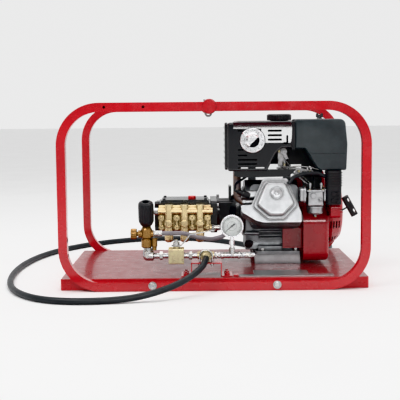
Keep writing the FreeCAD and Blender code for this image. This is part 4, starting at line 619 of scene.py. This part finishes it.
def add_gauge_dial():
    face = Shapes()
    face_profile = [(0, 0.0296), (0.0003, 0.0297), (0.0006, 0.0292), (0.0006, 0.004)]
    face.turned(face_profile, GAUGE_AT, TO_FRONT, around=64)
    face.piece("gauge_dial_face", looks["dial_white"])
    marks = Shapes()
    for index in range(GAUGE_TICKS + 1):
        # All the marks end at the same height, behind the needle.
        major = index % 5 == 0
        inner = 0.0212 if major else 0.0238
        wide = 0.00075 if major else 0.0004
        way = gauge_way(index / GAUGE_TICKS)
        middle = GAUGE_AT + Vector((0, wide - GAUGE_MARK_FRONT, 0))
        marks.swept([middle + way * inner, middle + way * GAUGE_OUTER], wide, 4)
    arc_middle = GAUGE_AT + Vector((0, -0.0005, 0))
    arc = []
    for index in range(GAUGE_ARC_STEPS + 1):
        arc.append(arc_middle + gauge_way(index / GAUGE_ARC_STEPS) * GAUGE_OUTER)
    marks.swept(arc, 0.00035, 4)
    inner_ring = circle(GAUGE_AT + Vector((0, -0.0006, 0)), 0.0135, 32)
    marks.swept(inner_ring, 0.0003, 4, closed=True)
    marks.piece("gauge_dial_marks", looks["black_paint"])
    rim = Shapes()
    for radius, y in ((0.0338, -0.2412), (0.0306, -0.2408)):
        rim.swept(circle((GAUGE_AT.x, y, GAUGE_AT.z), radius, 72), 0.0006, 8, closed=True)
    rim.piece("gauge_bezel_rolls", looks["chrome"])


CRANK_Y = 0.070
CRANK_Z = 0.194
RECOIL_BOLTS = 5
RECOIL_BOLT_X = 0.3841
RECOIL_BOLT_RADIUS = 0.1065


def add_engine_fasteners():
    bolts = Shapes()
    for x, z in ((0.300, 0.285), (0.350, 0.280)):
        bolts.hexed((x, -0.0245, z), TO_FRONT, 0.008, 0.005, 0.0068)
    for index in range(RECOIL_BOLTS):
        angle = 2 * math.pi * (index + 0.5) / RECOIL_BOLTS
        y = CRANK_Y + RECOIL_BOLT_RADIUS * math.cos(angle)
        z = CRANK_Z + RECOIL_BOLT_RADIUS * math.sin(angle)
        bolts.hexed((RECOIL_BOLT_X, y, z), TO_RIGHT, 0.008, 0.005, 0.0072)
    for x in (0.150, 0.255):
        bolts.hexed((x, 0.170, 0.0765), UPWARD, 0.010, 0.005, 0.0085)
    bolts.piece("engine_flange_bolts", looks["yellow_zinc"])


GOVERNOR_ROD = [
    (0.246, -0.0990, 0.338), (0.246, -0.1020, 0.338), (0.270, -0.1030, 0.318),
    (0.296, -0.1030, 0.296), (0.296, -0.0990, 0.296),
]
THROTTLE_ROD = [
    (0.212, -0.0860, 0.352), (0.236, -0.1000, 0.349), (0.268, -0.1040, 0.3525),
    (0.306, -0.1060, 0.348), (0.330, -0.1040, 0.341),
]
IDLE_SCREW_AT = (0.334, -0.1285, 0.248)
PLATE_SCREWS_AT = [
    (0.2100, -0.0702, 0.398), (0.2256, -0.0702, 0.356), (0.2690, -0.0962, 0.336), (0.3040, -0.0962, 0.334),
]


def add_control_linkage():
    springs = Shapes()
    springs.coil((0.222, -0.0765, 0.378), (0.248, -0.0985, 0.342), 0.0024, 0.0005, 9)
    springs.coil((0.262, -0.0985, 0.338), (0.302, -0.1010, 0.300), 0.0021, 0.00045, 10)
    springs.coil((0.334, -0.1215, 0.248), (0.334, -0.1290, 0.248), 0.0026, 0.0005, 4)
    springs.piece("governor_springs", looks["zinc_plate"])
    rods = Shapes()
    rods.swept(GOVERNOR_ROD, 0.0011, 8)
    rods.swept(THROTTLE_ROD, 0.0018, 8)
    idle_profile = [(0, 0.0042), (0.002, 0.0046), (0.004, 0.0042), (0.0045, 0.0018)]
    rods.turned(idle_profile, IDLE_SCREW_AT, TO_FRONT, around=20)
    rods.piece("governor_rods", looks["steel"])
    screws = Shapes()
    pan_head = [(0, 0.0040), (0.0012, 0.0042), (0.0026, 0.0030), (0.0024, 0.0010)]
    for place in PLATE_SCREWS_AT:
        screws.turned(pan_head, place, TO_FRONT, around=20)
    screws.hexed((0.2450, -0.0962, 0.3395), TO_FRONT, 0.007, 0.0035)
    screws.hexed((0.3210, -0.0930, 0.1925), DOWNWARD, 0.008, 0.0015)
    for x in (0.3005, 0.3415):
        screws.hexed((x, -0.118, 0.2780), UPWARD, 0.006, 0.003)
    screws.piece("control_screws", looks["yellow_zinc"])
    clips = Shapes()
    fuel_hose_end = (0.3200, -0.0815, 0.2815)
    clips.swept(circle(fuel_hose_end, 0.0034, 20), 0.0006, 6, closed=True)
    clips.piece("fuel_hose_clip", looks["zinc_plate"])


PUMP_SIDE_X = -0.1758
PUMP_LID_Z = 0.2428
OIL_WINDOW_AT = (PUMP_SIDE_X, 0.055, 0.187)
OIL_DRAIN_AT = (PUMP_SIDE_X, 0.055, 0.152)


def add_pump_trim():
    # Oil window, drain plug and bolts on the left side of the pump, and the screws of its lid.
    trim = Shapes()
    window_ring = [(0, 0.0135), (0.003, 0.0135), (0.0042, 0.0120), (0.0042, 0.0090), (0.0030, 0.0088)]
    trim.turned(window_ring, OIL_WINDOW_AT, TO_LEFT, around=32)
    for y in (-0.010, 0.120):
        for z in (0.156, 0.216):
            trim.hexed((PUMP_SIDE_X, y, z), TO_LEFT, 0.008, 0.005, 0.0068)
    trim.hexed(OIL_DRAIN_AT, TO_LEFT, 0.014, 0.006, 0.0095)
    trim.piece("pump_side_plate_bolts", looks["zinc_plate"])
    oil = Shapes()
    window = [(0, 0.0088), (0.0028, 0.0086), (0.0036, 0.0060), (0.0038, 0.0015)]
    oil.turned(window, OIL_WINDOW_AT, TO_LEFT, around=32)
    oil.piece("pump_oil_window", looks["dial_white"])
    lid_bolts = Shapes()
    socket_head = [(0, 0.0048), (0.0030, 0.0050), (0.0042, 0.0042), (0.0042, 0.0026), (0.0022, 0.0025)]
    for x in (-0.157, -0.023):
        for y in (-0.021, 0.073):
            lid_bolts.turned(socket_head, (x, y, PUMP_LID_Z), UPWARD, around=24)
    lid_bolts.piece("pump_lid_screws", looks["black_paint"])


FERRULE_AT = Vector((-0.025, -0.2600, 0.093))
FERRULE_RIDGES = 5
FERRULE_STEP = 0.0046


def add_hose_ferrule():
    ridges = Shapes()
    for index in range(FERRULE_RIDGES):
        middle = FERRULE_AT + Vector(TO_FRONT) * (FERRULE_STEP * index)
        ridges.swept(circle(middle, 0.0128, 40), 0.0011, 8, closed=True)
    ridges.piece("hose_ferrule_ridges", looks["yellow_zinc"])


WING_NUT_FOOT = (0.338, -0.060, 0.4978)


def add_air_cleaner_trim():
    washer = Shapes()
    profile = [(0, 0.0125), (0.0008, 0.0130), (0.0014, 0.0120), (0.0014, 0.0085)]
    washer.turned(profile, WING_NUT_FOOT, UPWARD, around=32)
    washer.piece("air_cleaner_washer", looks["zinc_plate"])


ROPE_START = Vector((0.398, -0.088, 0.2065))
ROPE_WAY = Vector((0.875, 0, 0.485)).normalized()
ROPE_SEGMENTS = 72
ROPE_INNER = -0.004
ROPE_OUTER = 0.036


def add_starter_rope():
    # A straight rope out of its guide; it is attached to no body, so it stays where it is when the handle
    # is pulled.
    points = []
    for index in range(ROPE_SEGMENTS + 1):
        along = ROPE_INNER + (ROPE_OUTER - ROPE_INNER) * index / ROPE_SEGMENTS
        points.append(ROPE_START + ROPE_WAY * along)
    rope = Shapes()
    rope.swept(points, 0.0023, 10, ripple=0.10, every=3)
    made = rope.piece("pull_rope", looks["rope"], body=None)
    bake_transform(made)
    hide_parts("starter_rope")


PLUG_AXIS = Vector((-0.9, -0.25, 0.35)).normalized()
PLUG_CAP_END = Vector((0.112, -0.112, 0.262)) + PLUG_AXIS * 0.040
LEAD_ROUTE = [
    PLUG_CAP_END, PLUG_CAP_END + PLUG_AXIS * 0.010, (0.068, -0.118, 0.286), (0.070, -0.100, 0.296),
    (0.082, -0.080, 0.304), (0.098, -0.062, 0.312), (0.112, -0.046, 0.320), (0.124, -0.030, 0.326),
]


def add_spark_plug_lead():
    lead = Shapes()
    lead.swept(rounded_path(LEAD_ROUTE), 0.0035, 12)
    lead.piece("spark_plug_lead", looks["black_rubber"])


def rounded_path(points, steps=6):
    """A smooth path through the points."""
    known = [Vector(point) for point in points]
    path = []
    for index in range(len(known) - 1):
        before = known[max(index - 1, 0)]
        here, after = known[index], known[index + 1]
        beyond = known[min(index + 2, len(known) - 1)]
        for step in range(steps):
            t = step / steps
            square = 2 * before - 5 * here + 4 * after - beyond
            cube = 3 * here - before - 3 * after + beyond
            path.append(0.5 * (2 * here + (after - before) * t + square * t ** 2 + cube * t ** 3))
    path.append(known[-1])
    return path


def add_details():
    add_weld_beads()
    add_gauge_dial()
    add_engine_fasteners()
    add_control_linkage()
    add_pump_trim()
    add_hose_ferrule()
    add_air_cleaner_trim()
    add_spark_plug_lead()
    add_starter_rope()


# ---------------------------------------------------------------- stage

FLOOR_HALF = 30.0
FLOOR_Z = -0.0004
SKY_DARK = 0.18
SKY_LIGHT = 0.90
SKY_FROM = -0.7
SKY_TO = 0.5
SKY_LIFT = 1.3


def make_stage():
    make_floor()
    make_sky()


def make_floor():
    half = FLOOR_HALF
    mesh = bpy.data.meshes.new("floor")
    corners = [(-half, -half, 0), (half, -half, 0), (half, half, 0), (-half, half, 0)]
    mesh.from_pydata(corners, [], [(0, 1, 2, 3)])
    floor = bpy.data.objects.new("floor", mesh)
    floor.location.z = FLOOR_Z
    scene.collection.objects.link(floor)
    look = Look("floor_paint")
    tone = look.mixed(look.ranged(look.noise(3.0), 0.3, 0.7, 0, 1), (0.88, 0.88, 0.88), (0.91, 0.91, 0.91))
    look.link(tone, look.shader.inputs["Base Color"])
    look.shader.inputs["Roughness"].default_value = 0.75
    mesh.materials.append(look.material)


def make_sky():
    # The studio is pale behind and above the machine and dim in front of it.
    world = bpy.data.worlds.new("studio")
    world.use_nodes = True
    tree = world.node_tree
    background = tree.nodes["Background"]
    background.inputs["Color"].default_value = (1.0, 1.0, 1.0, 1)
    around = tree.nodes.new("ShaderNodeTexCoord")
    split = tree.nodes.new("ShaderNodeSeparateXYZ")
    tree.links.new(around.outputs["Generated"], split.inputs[0])
    level = tree.nodes.new("ShaderNodeMapRange")
    level.inputs["From Min"].default_value = SKY_FROM
    level.inputs["From Max"].default_value = SKY_TO
    level.inputs["To Min"].default_value = SKY_DARK
    level.inputs["To Max"].default_value = SKY_LIGHT
    lift = tree.nodes.new("ShaderNodeMath")
    lift.operation = "MULTIPLY_ADD"
    lift.inputs[1].default_value = SKY_LIFT
    tree.links.new(split.outputs["Z"], lift.inputs[0])
    tree.links.new(split.outputs["Y"], lift.inputs[2])
    tree.links.new(lift.outputs[0], level.inputs["Value"])
    tree.links.new(level.outputs["Result"], background.inputs["Strength"])
    scene.world = world


def area_light(name, place, target, width, height, watts):
    data = bpy.data.lights.new(name, "AREA")
    data.shape = "RECTANGLE"
    data.size = width
    data.size_y = height
    data.energy = watts
    light = bpy.data.objects.new(name, data)
    light.location = place
    light.rotation_euler = (Vector(target) - Vector(place)).to_track_quat("-Z", "Y").to_euler()
    scene.collection.objects.link(light)
    return light


def make_lights():
    middle = (0.0, 0.0, 0.25)
    area_light("key_light", (-1.6, -1.9, 2.3), middle, 1.4, 1.0, 36)
    area_light("fill_light", (2.2, -1.6, 1.2), middle, 1.2, 1.6, 12)
    area_light("top_light", (0.2, 0.3, 2.6), middle, 2.2, 1.4, 30)
    # A strip that only shows as a reflection in the leaning field of the muffler shield.
    strip = area_light("shield_strip", (0.50, -3.55, 1.46), (0.2, -0.1, 0.47), 2.0, 0.7, 46)
    strip.visible_diffuse = False


# ---------------------------------------------------------------- build

make_camera()
hose = make_hose()
looks = make_materials()
dress_cad_nodes(looks)
random.seed(41)
add_details()
hose.data.materials.append(looks["black_rubber"])
make_stage()
make_lights()

bpy.context.view_layer.update()
